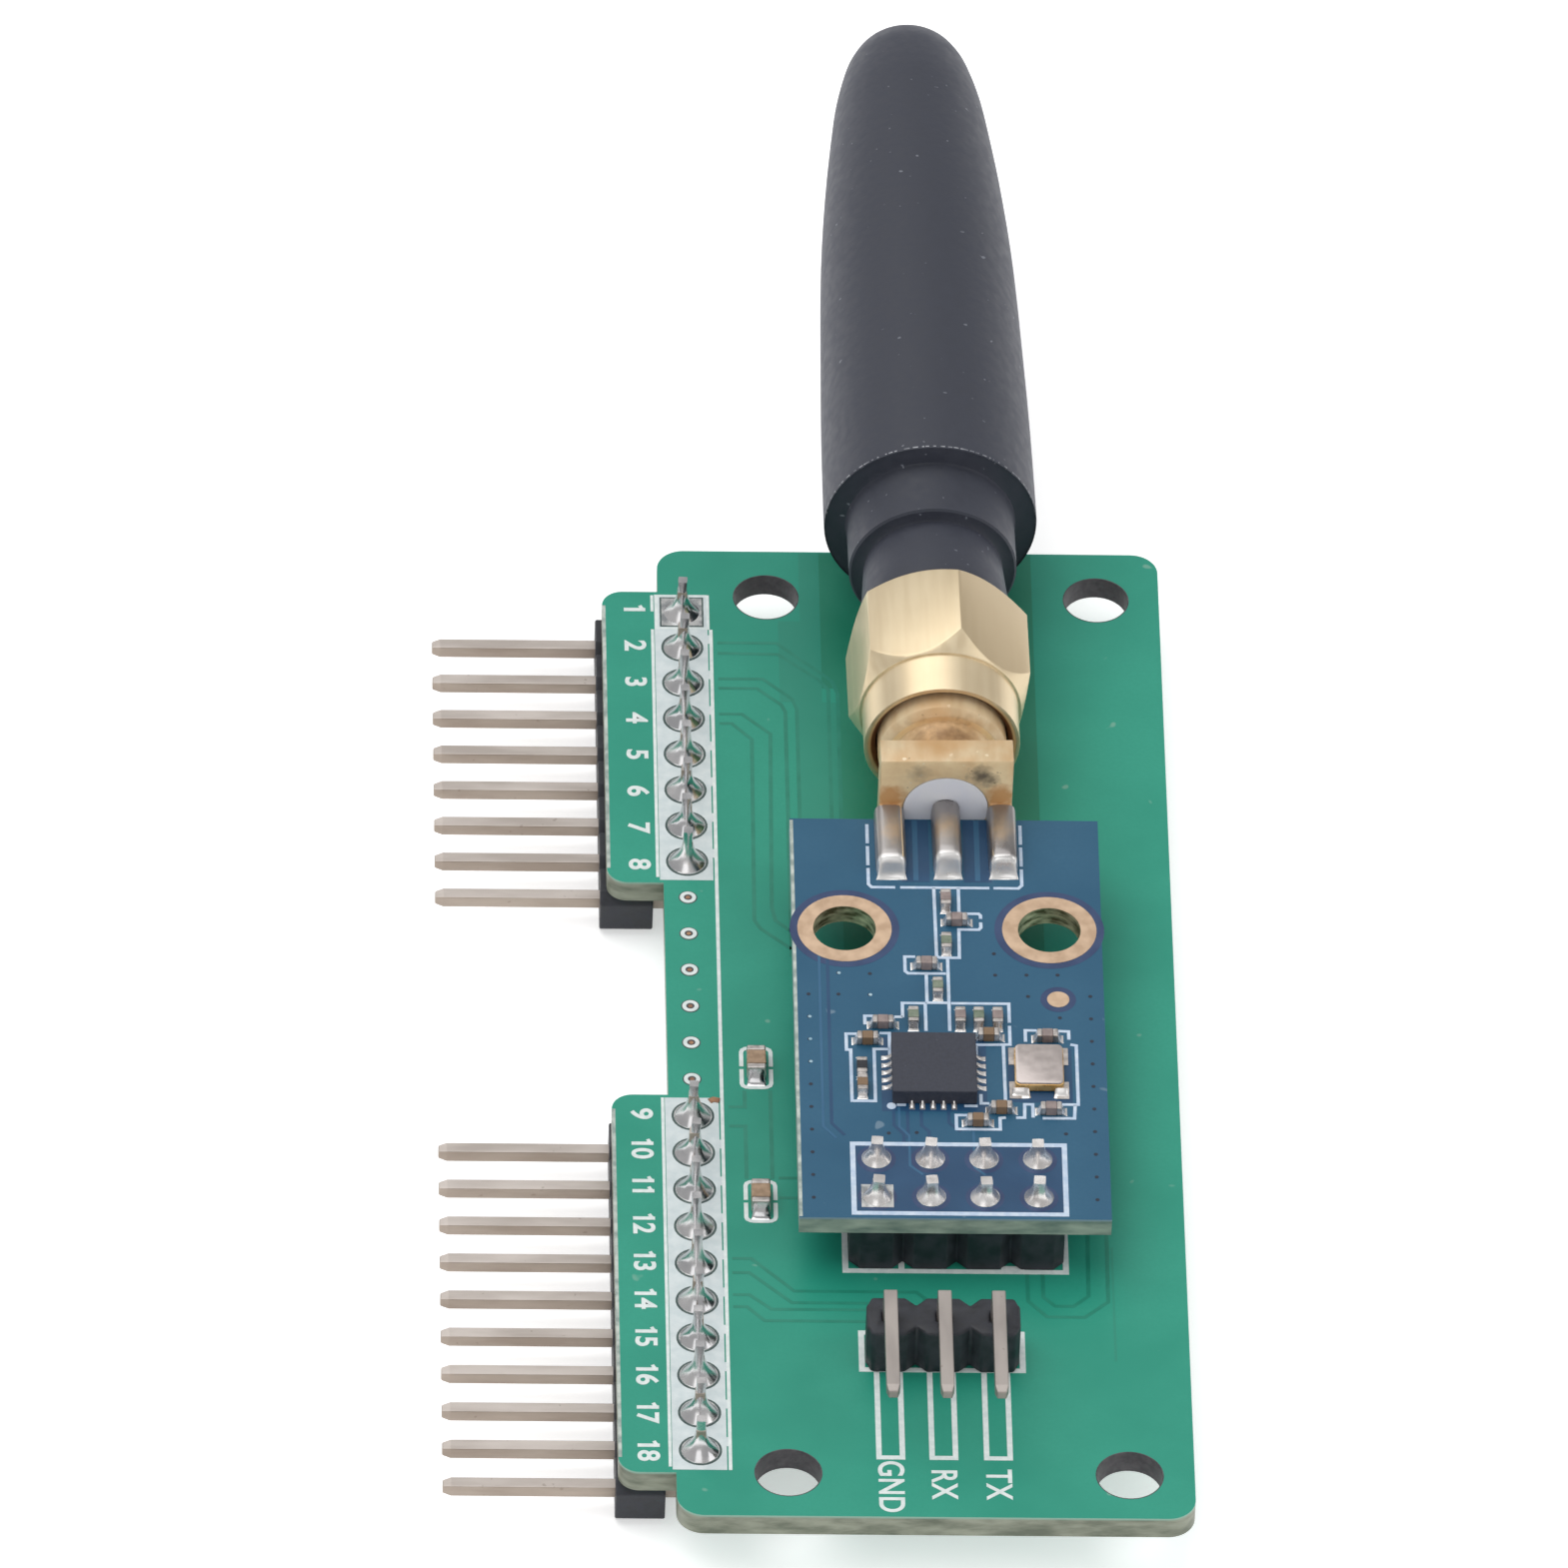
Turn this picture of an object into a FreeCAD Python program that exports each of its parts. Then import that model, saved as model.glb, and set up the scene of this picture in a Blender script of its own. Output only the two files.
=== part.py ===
import FreeCAD, Part
import math
import os

os.makedirs("parts", exist_ok=True)

V = FreeCAD.Vector
X_AXIS = V(1, 0, 0)
Y_AXIS = V(0, 1, 0)
Z_AXIS = V(0, 0, 1)

# A radio module on a carrier board, in millimetres.
# The origin is the centre of the four mounting holes on the carrier's underside, +Y points to the
# antenna and +Z up. Every piece of the radio board and its antenna is drawn level, then leaned.

# Pin strips: square pins at a standard pitch in bodies of joined octagons
pin_pitch = 2.54
pin_size = 0.64
pin_point = 0.44
pin_point_length = 0.4
pin_bend_cut = 0.3
pin_fit = 0.02
pin_hole_gap = 0.115
strip_width = 2.5
strip_height = 2.54
strip_notch = 0.5
facets = 6
solder_radius = 0.95
link_solder_radius = 0.76
solder_neck = 0.52
solder_height = 1.1
pin_tail = 1.5

# Carrier board
carrier_width = 24.3
carrier_length = 67.2
carrier_thickness = 1.2
carrier_corner_radius = 1.3
mount_hole_diameter = 3.2
mount_inset_left = 5.25
mount_inset_right = 3.05
mount_inset_rear = 3.3
mount_inset_front = 2.9
tab_reach = 2.7
tab_margin = 0.2
tab_corner_radius = 1.0

# Row of right-angle pins along the carrier's left edge, in two strips with a gap between them
edge_row_inset = 1.15
first_pin_inset = 4.45
last_pin_inset = 4.33
rear_strip_pins = 8
front_strip_pins = 10
edge_strip_setback = 1.6
edge_pin_exposed = 7.9

# Serial header, whose pins bend forward above their body
serial_pins = 3
serial_x = -0.63
serial_from_front = 10.97
serial_pin_run = 6.9
serial_pin_rise = 0.94

# Link header between the two boards
link_columns = 4
link_rows = 2
link_x = 0.18
link_from_front = 19.3
link_pin_proud = 1.3

# Two larger capacitors on the carrier, lengthwise along Y, as (x, distance from the front edge)
large_chip = (0.9, 1.6, 0.8)
large_chip_cap = 0.35
large_chip_places = ((-9.04, 30.56), (-8.98, 21.33))

# Radio board. Its holes and chips have their places as a share of its length, from the front edge
radio_width = 14.74
radio_length = 27.0
radio_thickness = 1.0
radio_x = 0.03
radio_overhang = 0.2
radio_hole_diameter = 3.1
radio_hole_span = 9.76
radio_hole_share = 0.722

# Transceiver chip, leadless, with contacts on all four sides
chip_side = 4.0
chip_height = 0.85
chip_x = -0.8
chip_share = 0.358
contact_count = 5
contact_pitch = 0.65
contact_width = 0.32
contact_reach = 0.28
contact_height = 0.22

# Crystal: a ceramic base under a metal lid
crystal_base = (2.5, 3.2, 0.4)
crystal_lid = (2.4, 2.95, 0.35)
crystal_corner_cut = 0.3
crystal_x = 4.25
crystal_share = 0.3585

# Small chips, as (kind, x, share of the radio board's length, turned across the board)
small_chip = (0.5, 1.0, 0.5)
small_chip_cap = 0.25
resistor_height = 0.35
small_chips = (
    ("capacitor", 0.0, 0.7889, False),
    ("capacitor", 0.5, 0.7389, True),
    ("inductor", -0.03, 0.6796, False),
    ("capacitor", -1.0, 0.6278, True),
    ("inductor", -0.5, 0.5667, False),
    ("inductor", -1.7, 0.4926, False),
    ("capacitor", -3.15, 0.4796, True),
    ("capacitor", -3.9, 0.4389, True),
    ("resistor", -4.2, 0.3704, False),
    ("capacitor", -4.2, 0.3222, False),
    ("capacitor", 0.53, 0.4926, False),
    ("inductor", 1.4, 0.4926, False),
    ("capacitor", 2.3, 0.4926, False),
    ("capacitor", 1.85, 0.4500, True),
    ("capacitor", 4.64, 0.4481, True),
    ("capacitor", 4.7, 0.2667, True),
    ("capacitor", 2.35, 0.2685, True),
    ("capacitor", 1.22, 0.2370, True),
)

# Antenna jack: a square flange at the board's rear edge, with four legs that straddle the board
jack_x = 0.1
jack_yaw = 0.9
jack_edge_gap = 0.06
flange_side = 6.35
flange_thickness = 1.5
leg_width = 1.05
leg_length = 3.6
leg_height = 1.0
relief_diameter = 4.9
relief_length = 2.0
barrel_chamfer = 0.35
barrel_diameter = 6.2
barrel_length = 8.0
mouth_diameter = 4.7
mouth_depth = 1.9
insulator_diameter = 4.1
contact_diameter = 1.27
contact_front = 3.6
socket_diameter = 0.94
socket_depth = 3.0
slide_fit = 0.02
jack_solder_skirt = 0.19
jack_solder_toe = 0.7
jack_solder_height = 0.45

# Coupling nut: a round collar at its open front, then a hexagon
nut_standoff = 2.9
nut_across_flats = 7.9
nut_turn = 18.5
nut_collar_diameter = 7.5
nut_collar_length = 2.35
nut_length = 8.1
nut_thread_gap = 0.08
nut_mouth_chamfer = 0.35
nut_corner_depth = 0.66
nut_corner_slope = 1.15

# Plug inside the nut
plug_shoulder_length = 1.0
plug_stem_diameter = 5.2
plug_stem_length = 7.0
plug_tube_gap = 0.06
plug_pin_diameter = 0.9
plug_pin_proud = 2.5
plug_pin_tail = 1.2

# Antenna boot, one moulding: neck, collar and a tapering body with a round, slightly flat end
boot_gap = 0.12
neck_diameter = 7.0
neck_length = 3.9
boot_collar_diameter = 8.1
boot_collar_length = 3.3
boot_diameter = 10.3
boot_skirt_length = 9.0
boot_length = 34.2
boot_tip_radius = 3.25
boot_tip_from = 9.3
boot_tip_to = 72.0
boot_tip_rings = 2
boot_taper = ((22.8, 8.8),)
boot_clearance = 0.2
boot_bore_gap = 0.05

# Spring coil inside the boot
coil_diameter = 4.7
coil_wire = 0.7
coil_pitch = 6.0
coil_turns = 4
coil_runs_per_turn = 6
coil_gap = 0.2

# Derived places
mount_span_x = carrier_width - mount_inset_left - mount_inset_right
mount_span_y = carrier_length - mount_inset_rear - mount_inset_front
carrier_right = mount_span_x / 2 + mount_inset_right
carrier_left = -mount_span_x / 2 - mount_inset_left
carrier_rear = mount_span_y / 2 + mount_inset_rear
carrier_front = -mount_span_y / 2 - mount_inset_front
edge_row_x = carrier_left + edge_row_inset
serial_y = carrier_front + serial_from_front
link_y = carrier_front + link_from_front

radio_bottom = carrier_thickness + strip_height
radio_top = radio_bottom + radio_thickness
link_width = (link_rows - 1) * pin_pitch + strip_width
pivot_y = link_y - link_width / 2
radio_front = pivot_y - radio_overhang
radio_rear = radio_front + radio_length

axis_z = radio_top + contact_diameter / 2
flange_front = radio_rear + jack_edge_gap
flange_back = flange_front + flange_thickness
barrel_end = flange_back + barrel_length
mating_plane = barrel_end - mouth_depth
nut_front = flange_back + nut_standoff
nut_rear = nut_front + nut_length
shoulder_rear = barrel_end + plug_shoulder_length
neck_front = nut_rear + boot_gap
collar_front = neck_front + neck_length
boot_front = collar_front + boot_collar_length
boot_tip = boot_front + boot_length
stem_end = shoulder_rear + plug_stem_length


def lean_angle():
    """Angle that lifts the boot's front rim clear of the carrier board, in degrees."""
    reach = boot_front - pivot_y
    drop = axis_z - boot_diameter / 2 - radio_bottom
    rise_needed = boot_clearance - strip_height
    return math.degrees(math.asin(rise_needed / math.hypot(reach, drop)) - math.atan2(drop, reach))


radio_lean = lean_angle()


def lean(shape):
    """Turn a radio-board piece about the link header's front top edge."""
    leaned = shape.copy()
    leaned.rotate(V(0, pivot_y, radio_bottom), X_AXIS, radio_lean)
    return leaned


def aim(shape):
    """Turn an antenna piece a little to the left on the board's rear edge, then lean it."""
    turned = shape.copy()
    turned.rotate(V(jack_x, radio_rear, 0), Z_AXIS, jack_yaw)
    return lean(turned)


def save(name, *solids):
    """Write one node, as one solid or a group of separate solids."""
    shape = solids[0] if len(solids) == 1 else Part.makeCompound(list(solids))
    shape.exportStep(f"parts/{name}.step")


def box(x0, x1, y0, y1, z0, z1):
    return Part.makeBox(x1 - x0, y1 - y0, z1 - z0, V(x0, y0, z0))


def centred_box(size, x, y, z):
    """Box of a given size, centred on x and y and standing on z."""
    return box(x - size[0] / 2, x + size[0] / 2, y - size[1] / 2, y + size[1] / 2, z, z + size[2])


def prism(points, along):
    """Extrude a closed polygon."""
    return Part.Face(Part.makePolygon(list(points) + [points[0]])).extrude(along)


def cut_all(shape, tools):
    return shape.cut(Part.makeCompound(list(tools)))


def upright_edges(shape, corners):
    """The vertical edges that stand on the given x, y corners."""
    found = []
    for edge in shape.Edges:
        low = edge.BoundBox
        for x, y in corners:
            if max(abs(low.XMin - x), abs(low.XMax - x), abs(low.YMin - y), abs(low.YMax - y)) < 1e-4:
                found.append(edge)
    return found


def turned(profile):
    """Revolve a half-profile of (distance along +Y, radius) points about the antenna's axis."""
    points = [V(jack_x + radius, y, axis_z) for y, radius in profile]
    face = Part.Face(Part.makePolygon(points + [points[0]]))
    return face.revolve(V(jack_x, 0, axis_z), Y_AXIS, 360)


def tube(y0, y1, outer, inner):
    """Ring of rectangular section about the antenna's axis."""
    return turned([(y0, inner), (y1, inner), (y1, outer), (y0, outer)])


def rod(y0, y1, radius):
    return Part.makeCylinder(radius, y1 - y0, V(jack_x, y0, axis_z), Y_AXIS)


def strip_body(columns, rows):
    """Strip body centred on the origin, its positions along X and its pins along Z."""
    half_length = columns * pin_pitch / 2
    half_width = ((rows - 1) * pin_pitch + strip_width) / 2
    outline = []
    for side in (-1, 1):
        for column in range(columns):
            start = -half_length + column * pin_pitch
            for x, inset in (
                (start, strip_notch),
                (start + strip_notch, 0),
                (start + pin_pitch - strip_notch, 0),
            ):
                outline.append(V(-side * x, side * (half_width - inset), 0))
        outline.append(V(-side * half_length, side * (half_width - strip_notch), 0))
    body = prism(outline, V(0, 0, strip_height))
    hole = (pin_size + 2 * pin_fit, pin_size + 2 * pin_fit, strip_height)
    return cut_all(body, (centred_box(hole, x, y, 0) for x, y in grid(columns, rows)))


def grid(columns, rows):
    """Pin places of a strip centred on the origin."""
    return [
        ((column - (columns - 1) / 2) * pin_pitch, (row - (rows - 1) / 2) * pin_pitch)
        for row in range(rows)
        for column in range(columns)
    ]


def bent_pin(run, rise):
    """Square pin with its pointed leg along -X from the origin and its cut leg along +Z."""
    half = pin_size / 2
    point = pin_point / 2
    neck = -run + pin_point_length
    side = [
        V(-run, 0, -point),
        V(neck, 0, -half),
        V(half - pin_bend_cut, 0, -half),
        V(half, 0, pin_bend_cut - half),
        V(half, 0, rise),
        V(-half, 0, rise),
        V(-half, 0, half + pin_bend_cut),
        V(-half - pin_bend_cut, 0, half),
        V(neck, 0, half),
        V(-run, 0, point),
    ]
    bar = prism(side, V(0, pin_size, 0))
    bar.translate(V(0, -half, 0))
    plan = [
        V(-run, -point, -half),
        V(neck, -half, -half),
        V(half, -half, -half),
        V(half, half, -half),
        V(neck, half, -half),
        V(-run, point, -half),
    ]
    return bar.common(prism(plan, V(0, 0, rise + pin_size)))


def ring_of_points(radius, x, y, z):
    """Corners of a small regular polygon, flat side towards +X."""
    step = 2 * math.pi / facets
    return [
        V(x + radius * math.cos((i + 0.5) * step), y + radius * math.sin((i + 0.5) * step), z)
        for i in range(facets)
    ]


def pin_hole(x, y, z, depth):
    """Square drill for one pin hole."""
    side = pin_size + 2 * pin_hole_gap
    return centred_box((side, side, depth), x, y, z)


def solder_joint(x, y, z, up, radius=solder_radius):
    """Faceted solder joint round a square pin, on a board face at z."""
    wide = ring_of_points(radius, x, y, z)
    narrow = ring_of_points(solder_neck, x, y, z + up * solder_height)
    outlines = [wide, narrow]
    for i in range(facets):
        j = (i + 1) % facets
        outlines.append([wide[i], wide[j], narrow[j], narrow[i]])
    faces = [Part.Face(Part.makePolygon(points + [points[0]])) for points in outlines]
    joint = Part.Solid(Part.makeShell(faces))
    return joint.cut(centred_box((pin_size, pin_size, 2 * solder_height), x, y, z - solder_height))


# Pin places on the carrier board
strips = {
    "rear": (rear_strip_pins, carrier_rear - first_pin_inset),
    "front": (front_strip_pins, carrier_front + last_pin_inset + (front_strip_pins - 1) * pin_pitch),
}
edge_pins = {
    name: [(edge_row_x, start - i * pin_pitch) for i in range(count)]
    for name, (count, start) in strips.items()
}
serial_places = [(serial_x + x, serial_y + y) for x, y in grid(serial_pins, 1)]
link_places = [(link_x + x, link_y + y) for x, y in grid(link_columns, link_rows)]


# Carrier board, one plate with a tab over each right-angle strip
def carrier_board():
    board = box(carrier_left, carrier_right, carrier_front, carrier_rear, 0, carrier_thickness)
    corners = [(x, y) for x in (carrier_left, carrier_right) for y in (carrier_front, carrier_rear)]
    board = board.makeFillet(carrier_corner_radius, upright_edges(board, corners))
    tab_left = carrier_left - tab_reach
    for places in edge_pins.values():
        high = places[0][1] + pin_pitch / 2 + tab_margin
        low = places[-1][1] - pin_pitch / 2 - tab_margin
        tab = box(tab_left, carrier_left + edge_row_inset, low, high, 0, carrier_thickness)
        tab = tab.makeFillet(tab_corner_radius, upright_edges(tab, [(tab_left, low), (tab_left, high)]))
        board = board.fuse(tab)
    board = board.removeSplitter()
    drills = [
        Part.makeCylinder(mount_hole_diameter / 2, carrier_thickness, V(x, y, 0))
        for x in (-mount_span_x / 2, mount_span_x / 2)
        for y in (-mount_span_y / 2, mount_span_y / 2)
    ]
    for x, y in edge_pins["rear"] + edge_pins["front"] + serial_places + link_places:
        drills.append(pin_hole(x, y, 0, carrier_thickness))
    return cut_all(board, drills)


save("carrier_board", carrier_board())


# Right-angle strips: the bodies lie under the tabs, the pins turn up through the board to their solder
def edge_strip(count, start):
    body = strip_body(count, 1)
    body.rotate(V(0, 0, 0), Z_AXIS, 90)
    body.rotate(V(0, 0, 0), Y_AXIS, -90)
    body.translate(V(edge_row_x - edge_strip_setback, start - (count - 1) * pin_pitch / 2, -pin_pitch / 2))
    return body


def edge_pin(x, y):
    run = edge_strip_setback + strip_height + edge_pin_exposed
    pin = bent_pin(run, pin_pitch / 2 + carrier_thickness + pin_tail)
    pin.translate(V(x, y, -pin_pitch / 2))
    return pin


for name, (count, start) in strips.items():
    save(f"edge_strip_{name}", edge_strip(count, start))
    save(f"edge_pins_{name}", *(edge_pin(x, y) for x, y in edge_pins[name]))
    joints = [solder_joint(x, y, carrier_thickness, 1) for x, y in edge_pins[name]]
    save(f"edge_solder_{name}", *joints)


# Serial header: an upright body, pins that rise through it and bend forward, solder under the board
def serial_pin(x, y):
    level = carrier_thickness + strip_height + serial_pin_rise
    pin = bent_pin(serial_pin_run, level + pin_tail)
    pin.rotate(V(0, 0, 0), X_AXIS, 180)
    pin.rotate(V(0, 0, 0), Z_AXIS, 90)
    pin.translate(V(x, y, level))
    return pin


serial_body = strip_body(serial_pins, 1)
serial_body.translate(V(serial_x, serial_y, carrier_thickness))
save("serial_strip", serial_body)
save("serial_pins", *(serial_pin(x, y) for x, y in serial_places))
save("serial_solder", *(solder_joint(x, y, 0, -1) for x, y in serial_places))


# Link header: its upright pins pass through both boards
def radio_level(y):
    """Height of the leaned radio board's top face above a point of the carrier."""
    return radio_bottom + (y - pivot_y) * math.tan(math.radians(radio_lean)) + radio_thickness


link_top = max(radio_level(y) for x, y in link_places) + link_pin_proud
link_body = strip_body(link_columns, link_rows)
link_body.translate(V(link_x, link_y, carrier_thickness))
link_pin = (pin_size, pin_size, link_top + pin_tail)
link_pins = [centred_box(link_pin, x, y, -pin_tail) for x, y in link_places]
save("link_strip", link_body)
save("link_pins", *link_pins)
save("link_solder_lower", *(solder_joint(x, y, 0, -1, link_solder_radius) for x, y in link_places))


def level_y(y):
    """Where an upright pin at y crosses the middle of the radio board, before the lean."""
    angle = math.radians(radio_lean)
    return pivot_y + (y - pivot_y) / math.cos(angle) + radio_thickness / 2 * math.tan(angle)


def link_solder(x, y):
    joint = solder_joint(x, level_y(y), radio_top, 1, link_solder_radius)
    filled = joint.fuse(centred_box((pin_size, pin_size, solder_height), x, level_y(y), radio_top))
    return cut_all(lean(filled.removeSplitter()), link_pins)


save("link_solder_upper", *(link_solder(x, y) for x, y in link_places))

# Two larger capacitors on the carrier board
def chip_pieces(size, cap_length, x, y, z, across):
    """Body and two end caps of one chip, lengthwise along Y, or along X when turned across."""
    width, length, height = size
    body = centred_box((width, length - 2 * cap_length, height), x, y, z)
    caps = [
        centred_box((width, cap_length, height), x, y + side * (length - cap_length) / 2, z)
        for side in (-1, 1)
    ]
    if across:
        for piece in [body] + caps:
            piece.rotate(V(x, y, z), Z_AXIS, 90)
    return body, caps


large_bodies = []
large_caps = []
for x, from_front in large_chip_places:
    place = (x, carrier_front + from_front, carrier_thickness)
    body, caps = chip_pieces(large_chip, large_chip_cap, *place, False)
    large_bodies.append(body)
    large_caps.extend(caps)
save("large_capacitors", *large_bodies)
save("large_capacitor_caps", *large_caps)


# Radio board, with the link header's holes and two screw holes
def radio_share(share):
    """Y of a place that lies at a share of the radio board's length."""
    return radio_front + share * radio_length


def radio_board():
    left = radio_x - radio_width / 2
    board = box(left, left + radio_width, radio_front, radio_rear, radio_bottom, radio_top)
    drills = [pin_hole(x, level_y(y), radio_bottom, radio_thickness) for x, y in link_places]
    for side in (-1, 1):
        centre = V(radio_x + side * radio_hole_span / 2, radio_share(radio_hole_share), radio_bottom)
        drills.append(Part.makeCylinder(radio_hole_diameter / 2, radio_thickness, centre))
    return cut_all(board, drills)


save("radio_board", lean(radio_board()))

# Transceiver chip and its soldered contacts
chip_y = radio_share(chip_share)


def chip_contact(side, place):
    """One contact against the chip's side, with its solder sloping down to the board."""
    inner = chip_side / 2
    offset = (place - (contact_count - 1) / 2) * contact_pitch - contact_width / 2
    section = [
        V(inner, offset, radio_top),
        V(inner + contact_reach, offset, radio_top),
        V(inner + contact_reach, offset, radio_top + contact_height / 3),
        V(inner, offset, radio_top + contact_height),
    ]
    contact = prism(section, V(0, contact_width, 0))
    contact.rotate(V(0, 0, 0), Z_AXIS, 90 * side)
    contact.translate(V(chip_x, chip_y, 0))
    return contact


chip = centred_box((chip_side, chip_side, chip_height), chip_x, chip_y, radio_top)
save("transceiver_chip", lean(chip))
contacts = [chip_contact(side, place) for side in range(4) for place in range(contact_count)]
save("chip_contacts", *(lean(contact) for contact in contacts))

# Crystal
crystal_y = radio_share(crystal_share)


def cornered_box(size, x, y, z, cut):
    block = centred_box(size, x, y, z)
    corners = [(x + i * size[0] / 2, y + j * size[1] / 2) for i in (-1, 1) for j in (-1, 1)]
    return block.makeChamfer(cut, upright_edges(block, corners))


crystal_seat = radio_top + crystal_base[2]
save("crystal_base", lean(centred_box(crystal_base, crystal_x, crystal_y, radio_top)))
save("crystal_lid", lean(cornered_box(crystal_lid, crystal_x, crystal_y, crystal_seat, crystal_corner_cut)))

# Small chips on the radio board
chip_bodies = {"capacitor": [], "inductor": [], "resistor": []}
chip_caps = []
for kind, x, share, across in small_chips:
    height = resistor_height if kind == "resistor" else small_chip[2]
    size = (small_chip[0], small_chip[1], height)
    body, caps = chip_pieces(size, small_chip_cap, x, radio_share(share), radio_top, across)
    chip_bodies[kind].append(lean(body))
    chip_caps.extend(lean(cap) for cap in caps)
for kind, bodies in chip_bodies.items():
    save(f"small_{kind}s" if len(bodies) > 1 else f"small_{kind}", *bodies)
save("small_chip_caps", *chip_caps)


# Antenna jack: body, insulator and contact, then the solder on its legs
def jack_body():
    half = flange_side / 2
    shape = box(jack_x - half, jack_x + half, flange_front, flange_back, axis_z - half, axis_z + half)
    shape = shape.fuse(rod(flange_back, barrel_end, relief_diameter / 2))
    barrel_front = flange_back + relief_length
    shape = shape.fuse(turned([
        (barrel_front, 0),
        (barrel_front, barrel_diameter / 2 - barrel_chamfer),
        (barrel_front + barrel_chamfer, barrel_diameter / 2),
        (barrel_end, barrel_diameter / 2),
        (barrel_end, 0),
    ]))
    for x, z in leg_corners():
        shape = shape.fuse(box(x, x + leg_width, flange_front - leg_length, flange_front, z, z + leg_height))
    shape = shape.removeSplitter()
    bore = rod(flange_front, mating_plane, insulator_diameter / 2)
    mouth = rod(mating_plane, barrel_end, mouth_diameter / 2)
    return shape.cut(bore).cut(mouth)


def leg_corners():
    """Lower left corners, in x and z, of the two upper and two lower legs."""
    left = jack_x - flange_side / 2
    right = jack_x + flange_side / 2 - leg_width
    return [(x, z) for x in (left, right) for z in (radio_top, radio_bottom - leg_height)]


def jack_contact():
    contact = rod(flange_front - contact_front, mating_plane, contact_diameter / 2)
    return contact.cut(rod(mating_plane - socket_depth, mating_plane, socket_diameter / 2))


def solder_bank(x_mid, width, face, up):
    """Solder that slopes down to the board round one leg or contact."""
    half = width / 2 + jack_solder_skirt
    end = flange_front - leg_length - jack_solder_toe
    height = up * jack_solder_height
    section = [
        V(x_mid - half, end, face),
        V(x_mid + half, end, face),
        V(x_mid + width / 2, end, face + height),
        V(x_mid - width / 2, end, face + height),
    ]
    bank = prism(section, V(0, radio_rear - end, 0))
    slope = [
        V(x_mid - half, end, face),
        V(x_mid - half, radio_rear, face),
        V(x_mid - half, radio_rear, face + height),
        V(x_mid - half, end + jack_solder_toe, face + height),
    ]
    return bank.common(prism(slope, V(2 * half, 0, 0)))


jack = jack_body()
contact = jack_contact()
banks = [solder_bank(jack_x, contact_diameter, radio_top, 1)]
for x, z in leg_corners():
    face, up = (radio_top, 1) if z == radio_top else (radio_bottom, -1)
    banks.append(solder_bank(x + leg_width / 2, leg_width, face, up))
insulator = tube(
    flange_front, mating_plane, insulator_diameter / 2 - slide_fit, contact_diameter / 2 + slide_fit
)
save("jack_body", aim(jack))
save("jack_insulator", aim(insulator))
save("jack_contact", aim(contact))
save("jack_solder", *(aim(bank.cut(jack).cut(contact)) for bank in banks))


# Coupling nut: thread bore at the front, and a wall caught between the plug's shoulder and the boot
def coupling_nut():
    corner = nut_across_flats / math.sqrt(3)
    collar_rear = nut_front + nut_collar_length
    corners = [
        V(
            jack_x + corner * math.cos(math.radians(nut_turn + 60 * i)),
            collar_rear,
            axis_z + corner * math.sin(math.radians(nut_turn + 60 * i)),
        )
        for i in range(6)
    ]
    hexagon = prism(corners, V(0, nut_rear - collar_rear, 0))
    rounding = turned([
        (collar_rear, 0),
        (collar_rear, corner - nut_corner_depth),
        (collar_rear + nut_corner_slope, corner),
        (nut_rear - nut_corner_slope / 2, corner),
        (nut_rear, corner - nut_corner_depth),
        (nut_rear, 0),
    ])
    shape = hexagon.common(rounding).fuse(rod(nut_front, collar_rear, nut_collar_diameter / 2))
    thread = barrel_diameter / 2 + nut_thread_gap
    stem = plug_stem_diameter / 2 + slide_fit
    hollow = turned([
        (nut_front, 0),
        (nut_front, thread + nut_mouth_chamfer),
        (nut_front + nut_mouth_chamfer, thread),
        (shoulder_rear, thread),
        (shoulder_rear, stem),
        (nut_rear, stem),
        (nut_rear, 0),
    ])
    return shape.cut(hollow)


save("coupling_nut", aim(coupling_nut()))


# Plug: sleeve, insulator and pin
def plug_sleeve():
    bore = insulator_diameter / 2
    tube_outer = mouth_diameter / 2 - plug_tube_gap
    shoulder = barrel_diameter / 2
    stem = plug_stem_diameter / 2
    return turned([
        (mating_plane, bore),
        (mating_plane, tube_outer),
        (barrel_end, tube_outer),
        (barrel_end, shoulder),
        (shoulder_rear, shoulder),
        (shoulder_rear, stem),
        (stem_end, stem),
        (stem_end, bore),
    ])


plug_insulator = tube(
    mating_plane, stem_end, insulator_diameter / 2 - slide_fit, plug_pin_diameter / 2 + slide_fit
)
plug_pin = rod(mating_plane - plug_pin_proud, stem_end + plug_pin_tail, plug_pin_diameter / 2)
save("plug_sleeve", aim(plug_sleeve()))
save("plug_insulator", aim(plug_insulator))
save("plug_pin", aim(plug_pin))

# Spring coil of square wire, which stands on the plug's insulator and is tied to the pin's tail
coil_start = stem_end + coil_wire
coil_radius = (coil_diameter - coil_wire) / 2


def spring_coil():
    """Square wire wound in short straight runs."""
    runs = coil_turns * coil_runs_per_turn
    path = []
    for i in range(runs + 1):
        angle = 2 * math.pi * i / coil_runs_per_turn
        rise = coil_pitch * i / coil_runs_per_turn
        path.append(V(coil_radius * math.cos(angle), coil_radius * math.sin(angle), rise))
    half = coil_wire / 2
    corners = [
        V(coil_radius - half, 0, -half),
        V(coil_radius + half, 0, -half),
        V(coil_radius + half, 0, half),
        V(coil_radius - half, 0, half),
    ]
    section = Part.makePolygon(corners + [corners[0]])
    coil = Part.makePolygon(path).makePipeShell([section], True, True, 1)
    coil.rotate(V(0, 0, 0), X_AXIS, -90)
    coil.translate(V(jack_x, coil_start + half, axis_z))
    return coil


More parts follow.
